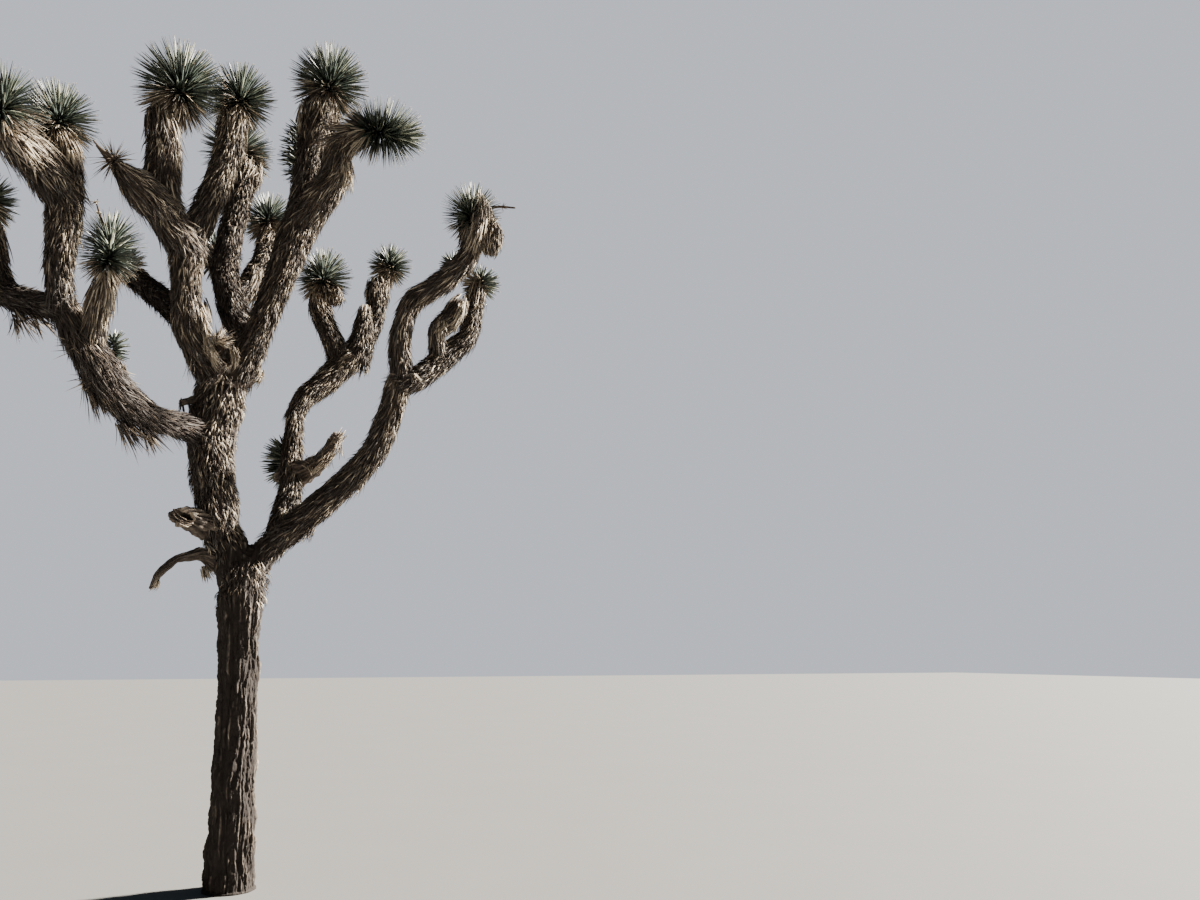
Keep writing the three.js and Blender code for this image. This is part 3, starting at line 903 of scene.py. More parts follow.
def make_bark(sizes):
    """One skin of furrowed bark over the trunk, the stem and the low east bough, in two pieces."""
    names = [limb.name for limb in LIMBS if limb.family == "bark"]
    skin = bark_blank(names, sizes)
    # Without a seed, noise_vector takes one from the clock
    noise.seed_set(SEEDS["bark"])
    shape_bark(skin, names, sizes)
    finish = bark_finish(sizes)
    trunk = cut_level(skin, "bark_trunk", BARK_SEAM, keep_above=False)
    fork = modified(cut_level(skin, "bark_fork", BARK_SEAM, keep_above=True), "DECIMATE",
                    {"ratio": FORK_FACES})
    bpy.data.meshes.remove(skin)
    finish_piece("bark_trunk", trunk, [finish], names[:1])
    finish_piece("bark_fork", fork, [finish], names[1:])


# Broken limbs

class Tear(NamedTuple):
    """How a dead limb is torn open: the side that its mouth faces, how much further back the rim lies
    there, how deep the hollow goes, the thickness of the wall and the limb's girth as parts, and how far
    behind the rim the wood is freshly torn."""
    name: str
    face: tuple
    slant: float
    depth: float
    wall: float
    girth: float
    pale: float


TEARS = [
    Tear("stub_hollow", (-0.25, -0.95, -0.15), 0.19, 0.16, 0.36, 1.0, 0.012),
    Tear("stub_crooked", (0.9, -0.3, -0.3), 0.03, 0.02, 0.5, 0.86, 0.12),
    Tear("stub_torn", (-0.7, -0.4, -0.6), 0.02, 0.03, 0.4, 0.6, 0.02),
    Tear("broken_spar", (0.3, -0.85, -0.3), 0.22, 0.2, 0.35, 0.85, 0.16),
]

# Parts of a torn sleeve's length, root to hollow, where its outside ends and its inside begins
OUTSIDE_ENDS, INSIDE_BEGINS = 0.6, 0.68


def torn_sleeve(bm, tear, jag, columns=72, rows=62):
    """A limb with a ragged rim and a hollow behind it, grained along its length."""
    pale, dark = bm.verts.layers.float["plate"], bm.verts.layers.float["furrow"]
    spine = SPINES[tear.name]
    verts = bmesh.ops.create_grid(bm, x_segments=columns, y_segments=rows, size=0.5)["verts"]
    spots = np.array([vert.co for vert in verts])
    angle, share = (spots[:, 0] + 0.5) * math.tau, spots[:, 1] + 0.5
    spoke = spine.spokes(np.full(len(angle), spine.length), angle)[2]
    toward = np.clip(0.5 + 0.5 * spoke @ unit(np.array(tear.face, float)), 0, 1)
    start = 7.0 * len(tear.name)
    ragged = sum(np.sin(waves * angle + start * waves) / waves**0.6 for waves in (3, 7, 12, 19))
    rim = spine.length - tear.slant * toward**1.4 + jag * ragged
    root = -0.5 * float(spine.girth(0.0))
    inward = np.clip((share - INSIDE_BEGINS) / (1 - INSIDE_BEGINS), 0, 1)
    outside = root + (rim - root) * share / OUTSIDE_ENDS
    along = np.where(share < OUTSIDE_ENDS, outside, rim - tear.depth * inward)
    level = np.interp(share, [0, OUTSIDE_ENDS, INSIDE_BEGINS, 0.93, 1],
                      [1, 0.96, 1 - tear.wall, 0.8 - tear.wall, 0])
    place, _, spoke = spine.spokes(along, angle)
    radius = spine.girth(along) * tear.girth * level
    bare = ease(along, rim - tear.pale, rim) * ease(toward, 0.3, 0.7)
    for i, vert in enumerate(verts):
        turn = Vector((math.cos(angle[i]), math.sin(angle[i]), 0))
        fibre = noise.noise(turn * 6 + Vector((0, 0, along[i] * 9 + start)))
        fine = noise.noise(turn * 17 + Vector((0, 0, along[i] * 16 + start)))
        knot = noise.noise(Vector(place[i] + spoke[i] * radius[i]) * 22)
        lump = (0.26 * fibre + 0.2 * fine + 0.26 * knot) * radius[i] * (share[i] < 0.97)
        vert.co = place[i] + spoke[i] * (radius[i] + lump)
        vert[pale] = max(bare[i], min(0.4, 0.5 * fibre + 0.6 * fine))
        # The hollow behind the rim is painted near black, as painted shade; elsewhere the darkness follows
        # the grain
        vert[dark] = min(1.0, max(0.1 - 1.2 * fibre - 1.1 * fine, 1.6 * inward[i]))
    bmesh.ops.remove_doubles(bm, verts=verts, dist=WELD)


def knob(bm, spine):
    """The swollen end that a torn limb keeps, with its grain."""
    pale, dark = bm.verts.layers.float["plate"], bm.verts.layers.float["furrow"]
    known = set(bm.verts)
    middle = Vector(spine.places[len(spine.places) // 2])
    tube(bm, spine, 40, 0.006, dome=0.03)
    for vert in bm.verts:
        if vert not in known:
            around = spine.tangents[0].dot(vert.co - middle)
            ring = math.sin(around * 260 + 4 * noise.noise(vert.co * 20))
            grain = 0.7 * noise.noise(vert.co * 34) + 0.35 * ring
            vert.co += (vert.co - middle) * 0.17 * grain
            vert[pale] = max(0.0, 0.16 + 0.6 * grain)
            vert[dark] = max(0.0, -1.1 * grain)


KNOB = Spine(Limb("knob", "broken", [(0.43, 0.0, 3.06), (0.475, -0.05, 3.13), (0.52, -0.1, 3.2)],
                  [0.03, 0.034, 0.05, 0.046]))

# Wood deep in the grain, and painted shade in the hollows
GRAIN_AND_HOLLOW_SHADE_COLOR = (0.018, 0.012, 0.009)


def wood_finish(sizes):
    """Weathered wood outside, pale where it is freshly torn, dark in the grain, and painted shade in the
    hollows.
    """
    finish = Finish("torn_wood", roughness=0.88)
    fibres = finish.spots(scale=120, detail=4)
    weathered = finish.ramp(fibres, [(0.3, shade(sizes.old_color, 0.4)), (0.7, shade(sizes.old_color, 1.3))])
    torn = finish.ramp(fibres, [(0.3, shade(sizes.torn_color, 0.55)), (0.7, shade(sizes.torn_color, 1.1))])
    wood = finish.mix(finish.attribute("plate"), weathered, torn)
    wood = finish.mix(finish.attribute("furrow"), wood, GRAIN_AND_HOLLOW_SHADE_COLOR)
    finish.feed(finish.shader, {"Base Color": wood})
    finish.bump(fibres, distance=0.003)
    return finish.material


def make_broken(sizes):
    """The dead limbs that have snapped off, with the strands that hang from them."""
    bm = bmesh.new()
    for layer in ("plate", "furrow"):
        bm.verts.layers.float.new(layer)
    for tear in TEARS:
        torn_sleeve(bm, tear, sizes.jag)
    knob(bm, KNOB)
    close_ends(bm)
    bmesh.ops.recalc_face_normals(bm, faces=bm.faces)
    mesh = mesh_of(bm, "broken_limbs")
    mesh.shade_smooth()
    finish_piece("broken_limbs", mesh, [wood_finish(sizes)], [tear.name for tear in TEARS])
    blades = Blades()
    gather(blades, "broken", np.random.default_rng(SEEDS["broken"]))
    strands = finishes("strand", DEAD_TONES, DEAD_ROUGHNESS)
    finish_piece("torn_strands", blades.mesh("torn_strands"), strands)


# Bunches of dead leaves

# Where a long dead leaf has its rings and its tip, as parts of its length
SKIRT_STATIONS = np.array([0.0, 0.3, 0.65, 1.0])

# How wide a leaf of a bunch is at each ring, how far along a limb its tones would fit, and its width
# where it lies on a cushion
BUNCH_TAPER = np.array([[0.8, 1.0, 0.7]])
BUNCH_SHARE = 0.6
CUSHION_LEAF = 0.011

# Lowest draws that give a straw, a tan and a brown leaf
DEAD_STEPS = (0.98, 0.8, 0.5)


def deal_dead(rng, share, pale):
    """A tone for each dead leaf, by how far along the limb it sits: greyer towards the limb's root."""
    count = len(share)
    draw = rng.random(count) + 0.2 * (np.clip(share, 0, 1) - 0.5) + pale
    tones = np.select([draw > step for step in DEAD_STEPS], [0, 1, 2], 3)
    return np.where(rng.random(count) < 0.2 * (1.3 - share), 4, tones)


def half_widths(rng, width, count):
    """Half the width of each leaf of a bunch at its rings."""
    return 0.5 * width * rng.uniform(0.7, 1.2, (count, 1)) * BUNCH_TAPER


def add_bunch(blades, rng, middles, facing, half, pale):
    """The leaves of a bunch, in the tones of dead ones."""
    blades.add(middles, facing, half, deal_dead(rng, np.full(len(middles), BUNCH_SHARE), pale))


class Sheaf(NamedTuple):
    """Dead leaves that hang or lie in one place: a run from start to end, and how they fill it."""
    family: str
    start: tuple
    end: tuple
    radius: float
    count: int
    length: float
    spread: float = 0.3
    arch: tuple = (0, 0, 0)
    pale: float = 0.1
    width: float = 0.011


SHEAVES = [
    # Flap and beards under the west boughs
    Sheaf("west", (-1.13, -0.63, 3.34), (-1.00, -0.54, 3.07), 0.055, 90, 0.2, 0.25),
    Sheaf("west", (-0.94, -0.49, 3.10), (-0.80, -0.42, 2.92), 0.05, 60, 0.2, 0.3),
    Sheaf("west", (-0.80, -0.41, 3.08), (-0.68, -0.36, 2.90), 0.04, 45, 0.18, 0.3),
    Sheaf("west", (-1.14, -0.69, 3.51), (-1.29, -0.76, 3.46), 0.04, 22, 0.12, 0.35, width=0.008),
    Sheaf("west", (-1.05, -0.62, 3.34), (-1.19, -0.70, 3.24), 0.04, 20, 0.11, 0.35, width=0.008),
    Sheaf("west", (-1.60, -0.56, 3.74), (-1.50, -0.62, 3.58), 0.05, 60, 0.17, 0.35),
    Sheaf("west", (-1.46, -0.66, 3.69), (-1.38, -0.69, 3.60), 0.045, 34, 0.15, 0.35),
    # Pale strip down the east side of the west heads' limbs
    Sheaf("west", (-1.41, -0.84, 4.88), (-1.32, -0.87, 4.64), 0.03, 60, 0.15, 0.1, (0.02, -0.03, 0), 0.7),
    Sheaf("west", (-1.03, -1.02, 3.90), (-1.01, -0.90, 3.66), 0.04, 90, 0.16, 0.1, (0.02, -0.03, 0), 0.6),
    # Dead leaves under the west tuft
    Sheaf("west", (-1.02, -0.56, 3.50), (-0.96, -0.56, 3.28), 0.04, 70, 0.13, 0.15, (0.04, -0.03, 0), 0.4),
    # Long pale leaves down the east side of the middle bough
    Sheaf("middle", (-0.56, -0.24, 4.10), (-0.47, -0.22, 3.86), 0.02, 50, 0.17, 0.1,
          (0.01, -0.02, 0), 0.6, 0.008),
    Sheaf("middle", (-0.52, -0.19, 4.13), (-0.46, -0.19, 3.90), 0.02, 30, 0.17, 0.12,
          (0.01, -0.02, 0), 0.6, 0.008),
    Sheaf("middle", (-0.56, -0.20, 3.74), (-0.56, -0.24, 3.46), 0.02, 16, 0.22, 0.12, (0, 0, 0), 0.1, 0.006),
    # Column of pale dead leaves on the east side of the high boughs
    Sheaf("high", (0.38, -0.46, 5.34), (0.42, -0.40, 5.04), 0.045, 150, 0.14, 0.12, (0.02, -0.03, 0), 0.65),
    Sheaf("high", (0.08, -0.10, 5.98), (0.09, -0.10, 5.62), 0.04, 80, 0.2, 0.15, (-0.02, -0.02, 0), 0.3),
    Sheaf("high", (0.52, -0.64, 5.49), (0.20, -0.40, 5.42), 0.05, 130, 0.25, 0.35, (0, -0.04, 0), 0.3),
    Sheaf("high", (-0.09, -0.15, 3.64), (-0.13, -0.15, 3.50), 0.03, 50, 0.09, 0.2, (0.02, -0.02, 0), 0.75),
    # Long skirt that hangs between the back boughs
    Sheaf("back", (-0.19, 0.56, 4.74), (-0.25, 0.48, 4.30), 0.05, 130, 0.24, 0.12, (0.03, -0.05, 0), 0.6),
    # Column of dead leaves that arches over the east head and into the cushion beside it
    Sheaf("east", (1.37, -0.93, 4.97), (1.33, -0.87, 4.52), 0.06, 230, 0.16, 0.12, (0.02, -0.04, 0), 0.35),
    # Long pale leaves in the bend of the east curl, hooked ones in the fork and a fringe under the low bough
    Sheaf("east", (1.34, -0.53, 4.24), (1.26, -0.53, 3.98), 0.03, 60, 0.16, 0.1, (0.01, -0.04, 0), 0.65),
    Sheaf("east", (1.19, -0.53, 4.06), (1.19, -0.52, 3.92), 0.05, 70, 0.05, 0.3, (0, -0.02, 0), 0.75),
    Sheaf("east", (0.98, -0.57, 3.60), (1.01, -0.55, 3.51), 0.02, 30, 0.07, 0.5, (0, 0, 0), 0.75),
    Sheaf("east", (0.36, -0.15, 2.47), (0.29, -0.13, 2.36), 0.04, 46, 0.09, 0.3),
    Sheaf("east", (0.50, -0.21, 2.64), (0.44, -0.19, 2.54), 0.03, 26, 0.09, 0.3),
    # End of the knob and the lit cushion under the inner west head
    Sheaf("inner", (0.735, 0.86, 4.65), (0.73, 0.80, 4.42), 0.045, 100, 0.13, 0.08, (0, 0, 0), 0.6),
    Sheaf("inner", (0.42, 0.93, 4.80), (0.50, 0.93, 4.62), 0.035, 60, 0.12, 0.3, (0.05, 0, 0), 0.6),
    # Strands of torn wood and dead leaves on the broken limbs
    Sheaf("broken", (0.35, 0.02, 2.90), (0.52, -0.12, 3.14), 0.02, 60, 0.12, 0.1,
          (0.02, -0.02, -0.02), 0.6, 0.008),
    Sheaf("broken", (0.33, 0.05, 2.96), (0.50, -0.10, 3.18), 0.035, 70, 0.12, 0.1,
          (0.01, -0.02, 0), -0.1, 0.009),
    Sheaf("broken", (0.46, -0.07, 3.11), (0.55, -0.12, 3.22), 0.035, 60, 0.07, 0.15, (0, 0, 0), 0.3, 0.009),
    Sheaf("broken", (0.53, -0.10, 3.13), (0.54, -0.10, 3.00), 0.025, 18, 0.09, 0.2, (0, 0, 0), 0.4, 0.007),
    Sheaf("broken", (0.46, -0.06, 3.06), (0.43, -0.05, 2.93), 0.03, 26, 0.09, 0.3, (0, 0, 0), 0.4, 0.007),
    Sheaf("broken", (0.28, 0.12, 3.01), (0.38, 0.02, 2.95), 0.05, 60, 0.06, 0.6, (0, -0.03, 0), 0.3, 0.008),
    Sheaf("broken", (-0.60, -0.17, 3.355), (-0.58, -0.20, 3.22), 0.014, 26, 0.10, 0.15,
          (0, 0, 0), 0.1, 0.008),
    Sheaf("broken", (-0.56, -0.14, 3.36), (-0.49, -0.19, 3.19), 0.02, 16, 0.12, 0.15, (0, 0, 0), 0.1, 0.007),
    Sheaf("broken", (-0.35, -0.12, 2.17), (-0.31, -0.08, 2.08), 0.035, 40, 0.08, 0.35, (0, 0, 0), 0.6),
    Sheaf("broken", (-0.34, -0.12, 2.34), (-0.28, -0.13, 2.25), 0.02, 16, 0.07, 0.3, (0, 0, 0), 0.8),
    Sheaf("broken", (-0.63, -0.29, 2.06), (-0.64, -0.30, 1.97), 0.016, 26, 0.07, 0.1,
          (0.02, 0, 0), 0.9, 0.008),
    Sheaf("broken", (-0.58, -0.24, 2.53), (-0.44, -0.20, 2.45), 0.03, 16, 0.08, 0.05, (0, -0.01, -0.03), 0.3),
    # Curled strands and leaves round the mouth of the dead head in the main crotch
    Sheaf("crotch", (-0.53, -0.25, 4.02), (-0.44, -0.26, 3.74), 0.025, 90, 0.14, 0.15,
          (0, -0.01, 0), 0.7, 0.008),
    Sheaf("crotch", (-0.47, -0.24, 3.86), (-0.37, -0.25, 3.59), 0.025, 110, 0.11, 0.18,
          (-0.02, -0.02, 0), 0.7, 0.008),
    Sheaf("crotch", (-0.29, -0.19, 3.77), (-0.26, -0.21, 3.62), 0.03, 80, 0.08, 0.15,
          (0.01, -0.01, 0), 0.6, 0.008),
    Sheaf("crotch", (-0.30, -0.18, 3.64), (-0.34, -0.18, 3.57), 0.025, 30, 0.06, 0.3, (0, 0, 0), 0.4, 0.008),
]


def bind(blades, sheaf, rng):
    """The leaves of a sheaf: each lies somewhere along the run and drifts a little off its line."""
    start, end, arch = (np.array(point, float) for point in (sheaf.start, sheaf.end, sheaf.arch))
    run = end - start
    whole = np.linalg.norm(run)
    count = sheaf.count
    length = sheaf.length * rng.uniform(0.6, 1.2, count)
    first = rng.random(count) * np.clip(1 - 0.8 * length / whole, 0.05, 1)
    ray = rays(run / whole, rng.uniform(0, math.tau, count), (0.3, 0.8, 0.52))
    out = sheaf.radius * np.sqrt(rng.random(count))
    stray = ray + rng.normal(0, 0.5, (count, 3))
    t = SKIRT_STATIONS[None, :, None]
    part = first[:, None, None] + length[:, None, None] * t / whole
    drift = stray[:, None] * sheaf.spread * length[:, None, None] * t**1.4
    middles = start + run * part + arch * 4 * part * (1 - part) + ray[:, None] * out[:, None, None] + drift
    half = half_widths(rng, sheaf.width, count)
    facing = unit(ray + rng.normal(0, 0.4, (count, 3)))[:, None]
    add_bunch(blades, rng, middles, facing, half, sheaf.pale)


class Fan(NamedTuple):
    """Dead leaves that spread from one place, within an angle of the way that they point."""
    family: str
    centre: tuple
    toward: tuple
    length: float
    count: int
    wide: float
    pale: float = 0.2
    width: float = 0.012


FANS = [
    # Dead leaves behind the head of the high arm, and the star at the end of the middle stub
    Fan("high", (0.53, -0.63, 5.49), (-1, 0.2, 0.15), 0.26, 110, 62, 0.2),
    Fan("middle", (-1.09, -0.90, 4.735), (-0.8, -0.6, 0.2), 0.15, 130, 118, 0.15),
    # Dried white bracts on the west spur
    Fan("west", (-1.055, -1.08, 4.18), (0.1, -0.8, 0.5), 0.035, 16, 90, 0.9, 0.014),
    Fan("west", (-1.10, -1.08, 4.26), (-0.2, -0.8, 0.5), 0.03, 12, 90, 0.9, 0.014),
    Fan("west", (-1.125, -1.08, 4.335), (-0.2, -0.8, 0.5), 0.03, 12, 90, 0.9, 0.014),
    # Dead head in the main crotch: the leaves of its mouth, and curled ends round it
    Fan("crotch", (-0.405, -0.19, 3.77), (0.22, -0.5, 0.84), 0.17, 110, 52, 0.42, 0.010),
    Fan("crotch", (-0.405, -0.24, 3.775), (0.8, -0.3, 0.5), 0.12, 80, 55, 0.5, 0.010),
    Fan("crotch", (-0.40, -0.15, 3.70), (0.1, -0.9, -0.6), 0.09, 40, 75, -0.2, 0.009),
    # Leaves that stand up over the cushion beside the inner east head, and bracts on the spent stalk
    Fan("cushion", (1.47, -0.86, 4.74), (0.2, -0.3, 1), 0.10, 36, 70, 0.3),
    Fan("east", (1.55, -0.868, 4.912), (1, 0, 0.1), 0.05, 26, 80, 0.1, 0.006),
]


def spread_fan(blades, fan, rng):
    """The leaves of a fan, each a little bowed and drooping at its tip."""
    axis = unit(np.array(fan.toward, float))
    steep = np.radians(fan.wide) * np.sqrt(rng.random(fan.count))[:, None]
    ray = rays(axis, rng.uniform(0, math.tau, fan.count))
    way = axis * np.cos(steep) + ray * np.sin(steep)
    reach = fan.length * rng.uniform(0.55, 1.15, (fan.count, 1))
    t = SKIRT_STATIONS[None, :, None]
    bend = ray * (reach * rng.normal(0.12, 0.15, (fan.count, 1)))
    middles = np.array(fan.centre) + way[:, None] * reach[:, None] * t + bend[:, None] * t**2
    middles[..., 2] -= 0.15 * reach * SKIRT_STATIONS**2
    half = half_widths(rng, fan.width, fan.count)
    facing = unit(axis - way * (way @ axis)[:, None] + 0.3 * ray)[:, None]
    add_bunch(blades, rng, middles, facing, half, fan.pale)


class Cushion(NamedTuple):
    """A rounded mass of dead leaves that run down over it: its centre and half sizes."""
    family: str
    centre: tuple
    size: tuple
    count: int
    length: float
    pale: float = 0.3


CUSHIONS = [
    Cushion("crotch", (-0.375, -0.10, 3.78), (0.085, 0.07, 0.12), 130, 0.09, -0.3),
    Cushion("cushion", (1.48, -0.84, 4.655), (0.088, 0.088, 0.145), 460, 0.10, 0.25),
    Cushion("east", (1.42, -0.85, 4.79), (0.07, 0.08, 0.14), 260, 0.11, 0.3),
    Cushion("inner", (0.47, 0.93, 4.72), (0.075, 0.075, 0.10), 160, 0.08, 0.45),
]


def drape(blades, cushion, rng):
    """Dead leaves down the sides of a cushion, from its top to under it."""
    count = cushion.count
    steep = np.arccos(1 - 1.75 * rng.random(count))[:, None]
    fall = cushion.length * rng.uniform(0.6, 1.2, count) / cushion.size[2]
    steep = steep + fall[:, None] * SKIRT_STATIONS
    turn = (np.arange(count) * GOLDEN_ANGLE)[:, None] + rng.normal(0, 0.25, (count, 1)) * SKIRT_STATIONS
    stand = 0.1 + 0.35 * rng.random((count, 1)) ** 3
    out = 0.88 + stand * SKIRT_STATIONS
    ray = np.stack([np.sin(steep) * np.cos(turn), np.sin(steep) * np.sin(turn), np.cos(steep)], -1)
    middles = np.array(cushion.centre) + np.array(cushion.size) * out[..., None] * ray
    half = half_widths(rng, CUSHION_LEAF, count)
    facing = unit(ray[:, :-1] + rng.normal(0, 0.35, (count, 1, 3)))
    add_bunch(blades, rng, middles, facing, half, cushion.pale)


def gather(blades, family, rng):
    """Every sheaf, fan and cushion of a family."""
    for table, grow in ((SHEAVES, bind), (FANS, spread_fan), (CUSHIONS, drape)):
        for mass in table:
            if mass.family == family:
                grow(blades, mass, rng)


STALKS = [
    Spine(Limb("stub_stalk", "middle", [(-1.08, -0.93, 4.73), (-1.156, -0.99, 4.752), (-1.202, -1.02, 4.789)],
               [0.013, 0.008, 0.006])),
    Spine(Limb("east_stalk", "east", [(1.40, -0.84, 4.86), (1.511, -0.86, 4.908), (1.656, -0.88, 4.917)],
               [0.014, 0.010, 0.007])),
    Spine(Limb("spur_stalk", "west", [(-1.03, -1.0, 4.10), (-1.09, -1.07, 4.24), (-1.125, -1.08, 4.335)],
               [0.012, 0.009, 0.005])),
]


# The nodes that the masses of dead leaves stand for, and how much of a cushion its core fills
MASS_NODES = {"crotch": "crotch_rosette", "cushion": "skirt_east_inner"}
CUSHION_CORE = 0.9


def make_masses(sizes):
    """The dead head in the main crotch, the cushion beside the inner east head, and the spent stalks."""
    dead = finishes("mass", DEAD_TONES, DEAD_ROUGHNESS)
    for number, (family, node) in enumerate(MASS_NODES.items()):
        blades = Blades()
        gather(blades, family, np.random.default_rng(SEEDS["masses"] + number))
        finish_piece(f"{family}_leaves", blades.mesh(f"{family}_leaves"), dead, [node])
    bm = bmesh.new()
    for cushion in CUSHIONS:
        ball = bmesh.ops.create_icosphere(bm, subdivisions=3, radius=1.0)["verts"]
        for vert in ball:
            swelling = 1 + 0.12 * noise.noise(vert.co * 3)
            vert.co = Vector(cushion.centre) + Vector(cushion.size) * vert.co * CUSHION_CORE * swelling
    for stalk in STALKS:
        tube(bm, stalk, 10, 0.008)
    bmesh.ops.recalc_face_normals(bm, faces=bm.faces)
    mesh = mesh_of(bm, "mass_cores")
    mesh.shade_smooth()
    core = leaf_finish("mass_core", tuple(sizes.core_color), shade(sizes.core_color, 1.9), CORE_ROUGHNESS)
    finish_piece("mass_cores", mesh, [core])


# Dead leaves on the limbs

# Where a short dead leaf has its rings and its tip, as parts of its length
THATCH_STATIONS = np.array([0.0, 0.45, 1.0])

# How much paler a dead leaf is painted where its side of the limb faces the light, as painted sunlight, and
# how much darker on the far side, as painted shade
PAINTED_SUN_BIAS = 0.24

# Depth inside another limb from which a dead leaf is left out: on a cloaked limb, on a barked one, and on
# the sides of a barked one, where the spokes point less than ASIDE to the front or to the back
CLEAR_CLOAKED, CLEAR_BARKED, CLEAR_ASIDE = 0.03, 0.008, -0.02
ASIDE = 0.6

# Leaves in the skirt of a head of full vigour
SKIRT_LEAVES = 190


def swell(spine, along, angle):
    """Gentle swellings and hollows of a limb's cloak."""
    start = 7.0 * len(spine.limb.name) + 11.0 * spine.length
    waves = np.sin(2 * angle + 11 * along + start) + np.sin(3 * angle - 17 * along + 2 * start)
    return 1 + 0.035 * waves + 0.025 * np.sin(26 * along + start)


def lay_back(blades, spine, rng, sizes, along, angle, length, level, lift, pale):
    """Dead leaves that run back along a limb from their roots. Level is how far out each station lies,
    as a part of the limb's girth, lift how far off the others it stands, and pale how light each is."""
    count, rings = len(along), level.shape[1] - 1
    t = THATCH_STATIONS[None] if rings == 2 else SKIRT_STATIONS[None]
    reach = along[:, None] - length[:, None] * t
    turn = angle[:, None] + rng.normal(0, sizes.stir, count)[:, None] * length[:, None] * t
    place, tangent, spoke = spine.spokes(reach, turn)
    girth = spine.girth(reach) * swell(spine, reach, turn)
    middles = place + spoke * (girth * level + lift)[..., None]
    slant = np.sqrt(np.clip(1 - tangent[..., 2] ** 2, 0, 1))
    droop = 0.12 + 0.5 * (rng.random((count, 1)) < 0.12)
    middles[..., 2] -= length[:, None] * droop * t**2 * np.clip(-spoke[..., 2], 0, 1) * slant
    barked = np.where(np.abs(spoke[:, 1, 1]) < ASIDE, CLEAR_ASIDE, CLEAR_BARKED)
    clear = barked if spine.limb.family == "bark" else CLEAR_CLOAKED
    keep = depth_in_others(middles[:, 1], spine.limb.name) < clear
    patch = 0.09 * (np.sin(2 * angle + 21 * along) + np.sin(3 * angle - 37 * along + 1))
    # Painted light and shade: dead leaves on the side of the limb towards the light are dealt paler tones,
    # those on the far side darker ones
    painted_light = PAINTED_SUN_BIAS * (spoke[:, 1] @ np.array(PAINTED_LIGHT_SIDE))
    tones = deal_dead(rng, along / spine.length, pale + patch + painted_light)
    half = 0.5 * sizes.width * rng.uniform(0.6, 1.2, (count, 1)) * np.linspace(0.9, 0.75, rings)[None]
    roll = rng.normal(0, 0.5, (count, 1, 1))
    facing = unit(spoke[:, :-1] + np.cross(tangent[:, :-1], spoke[:, :-1]) * roll)
    blades.add(middles[keep], facing[keep], half[keep], tones[keep])


class Cloak(NamedTuple):
    """How a limb's cloak differs from the others: the part of the limb that it covers, the parts of the
    full number and length of its leaves, how light they are, how far they lie out, over what length the
    cloak thins out at its start, and the part of the full number of leaves that stand away."""
    span: tuple = (0.0, 1.0)
    density: float = 1.0
    length: float = 1.0
    pale: float = 0.0
    rise: float = 0.0
    fade: float = 0.001
    stray: float = 1.0


CLOAKS = {
    "trunk": Cloak((0.85, 1.0), 0.7, 0.55, -0.12, 0.05, 0.35, 0.15),
    "stem": Cloak((0.0, 1.02), 0.85, 0.7, 0.0, 0.05, 0.35, 0.5),
    "east_bough_low": Cloak((0.1, 1.0), 0.7, 0.75, -0.1, 0.08, 0.3, 0.5),
    "middle_stub": Cloak((0.0, 0.84), length=1.2),
    # Painted shade: the dead leaves of the west and back boughs are painted darker, standing for the shade of
    # the stem and the other limbs over them
    "west_bough_low": Cloak(pale=-0.6),
    "west_bough_high": Cloak(pale=-0.4),
    "far_west_bough": Cloak(pale=-0.45),
    "back_west_limb": Cloak(pale=-0.25),
    "back_stem": Cloak(pale=-0.2),
    "high_bough": Cloak(pale=-0.1),
    "inner_knob": Cloak((-0.15, 1.0)),
}


# Limbs whose cloak stands open at the end, past the core, and how far past its limb a core reaches at such
# an end and at any other
OPEN_ENDS = ("east_curl", "inner_knob")
OPEN_REACH, CLOSED_REACH = -0.03, 0.04


def cloak(blades, spine, rng, sizes):
    """Dead leaves in tight layers along a limb, the outer ones paler and the inner ones darker as painted
    shade between the layers, with some that stand away.
    """
    kind = CLOAKS.get(spine.limb.name, Cloak())
    marks = np.linspace(kind.span[0] * spine.length, kind.span[1] * spine.length, 200)
    weight = spine.girth(marks) * (0.15 + 0.85 * ease(marks, marks[0], marks[0] + kind.fade))
    cover = np.concatenate([[0], np.cumsum((weight[1:] + weight[:-1]) / 2 * np.diff(marks))])
    count = int(sizes.density * kind.density * math.tau * cover[-1])
    along = np.interp((np.arange(count) + rng.random(count)) / count * cover[-1], cover, marks)
    angle = np.arange(count) * GOLDEN_ANGLE + rng.normal(0, 0.2, count)
    length = sizes.length * kind.length * rng.uniform(0.5, 1.5, count)
    layer = rng.random((count, 1)) - 0.5
    level = np.array([[sizes.core - 0.02, 0.95, 1.01]]) + 0.11 * layer * np.array([[0.2, 0.8, 1.0]])
    level = level + kind.rise * np.array([[1.0, 0.6, 0.4]])
    stray = np.where(rng.random(count) < sizes.stray * kind.stray, rng.uniform(0.2, 1.0, count) ** 2, 0.0)
    lift = length[:, None] * (0.32 * stray[:, None] + 0.04 * rng.random((count, 1))) * THATCH_STATIONS**1.6
    # Painted shade: the lower a leaf lies in the layers, the darker its tone
    lay_back(blades, spine, rng, sizes, along, angle, length, level, lift, kind.pale + 0.7 * layer[:, 0])


def skirt(blades, spine, rng, sizes, vigour):
    """The long dead leaves under a head: they spread from its foot and then lie down on the limb."""
    count = int(SKIRT_LEAVES * vigour)
    along = spine.length + rng.uniform(-0.08, 0.05, count)
    angle = np.arange(count) * GOLDEN_ANGLE + rng.normal(0, 0.2, count)
    length = sizes.skirt * rng.uniform(0.4, 1.15, count)
    flare = rng.uniform(0.0, 1.0, (count, 1)) ** 2
    level = np.array([[0.6, 1.02, 1.05, 1.02]]) + flare * np.array([[0.0, 0.16, 0.26, 0.4]])
    lay_back(blades, spine, rng, sizes, along, angle, length, level, np.zeros((count, 4)), 0.2)


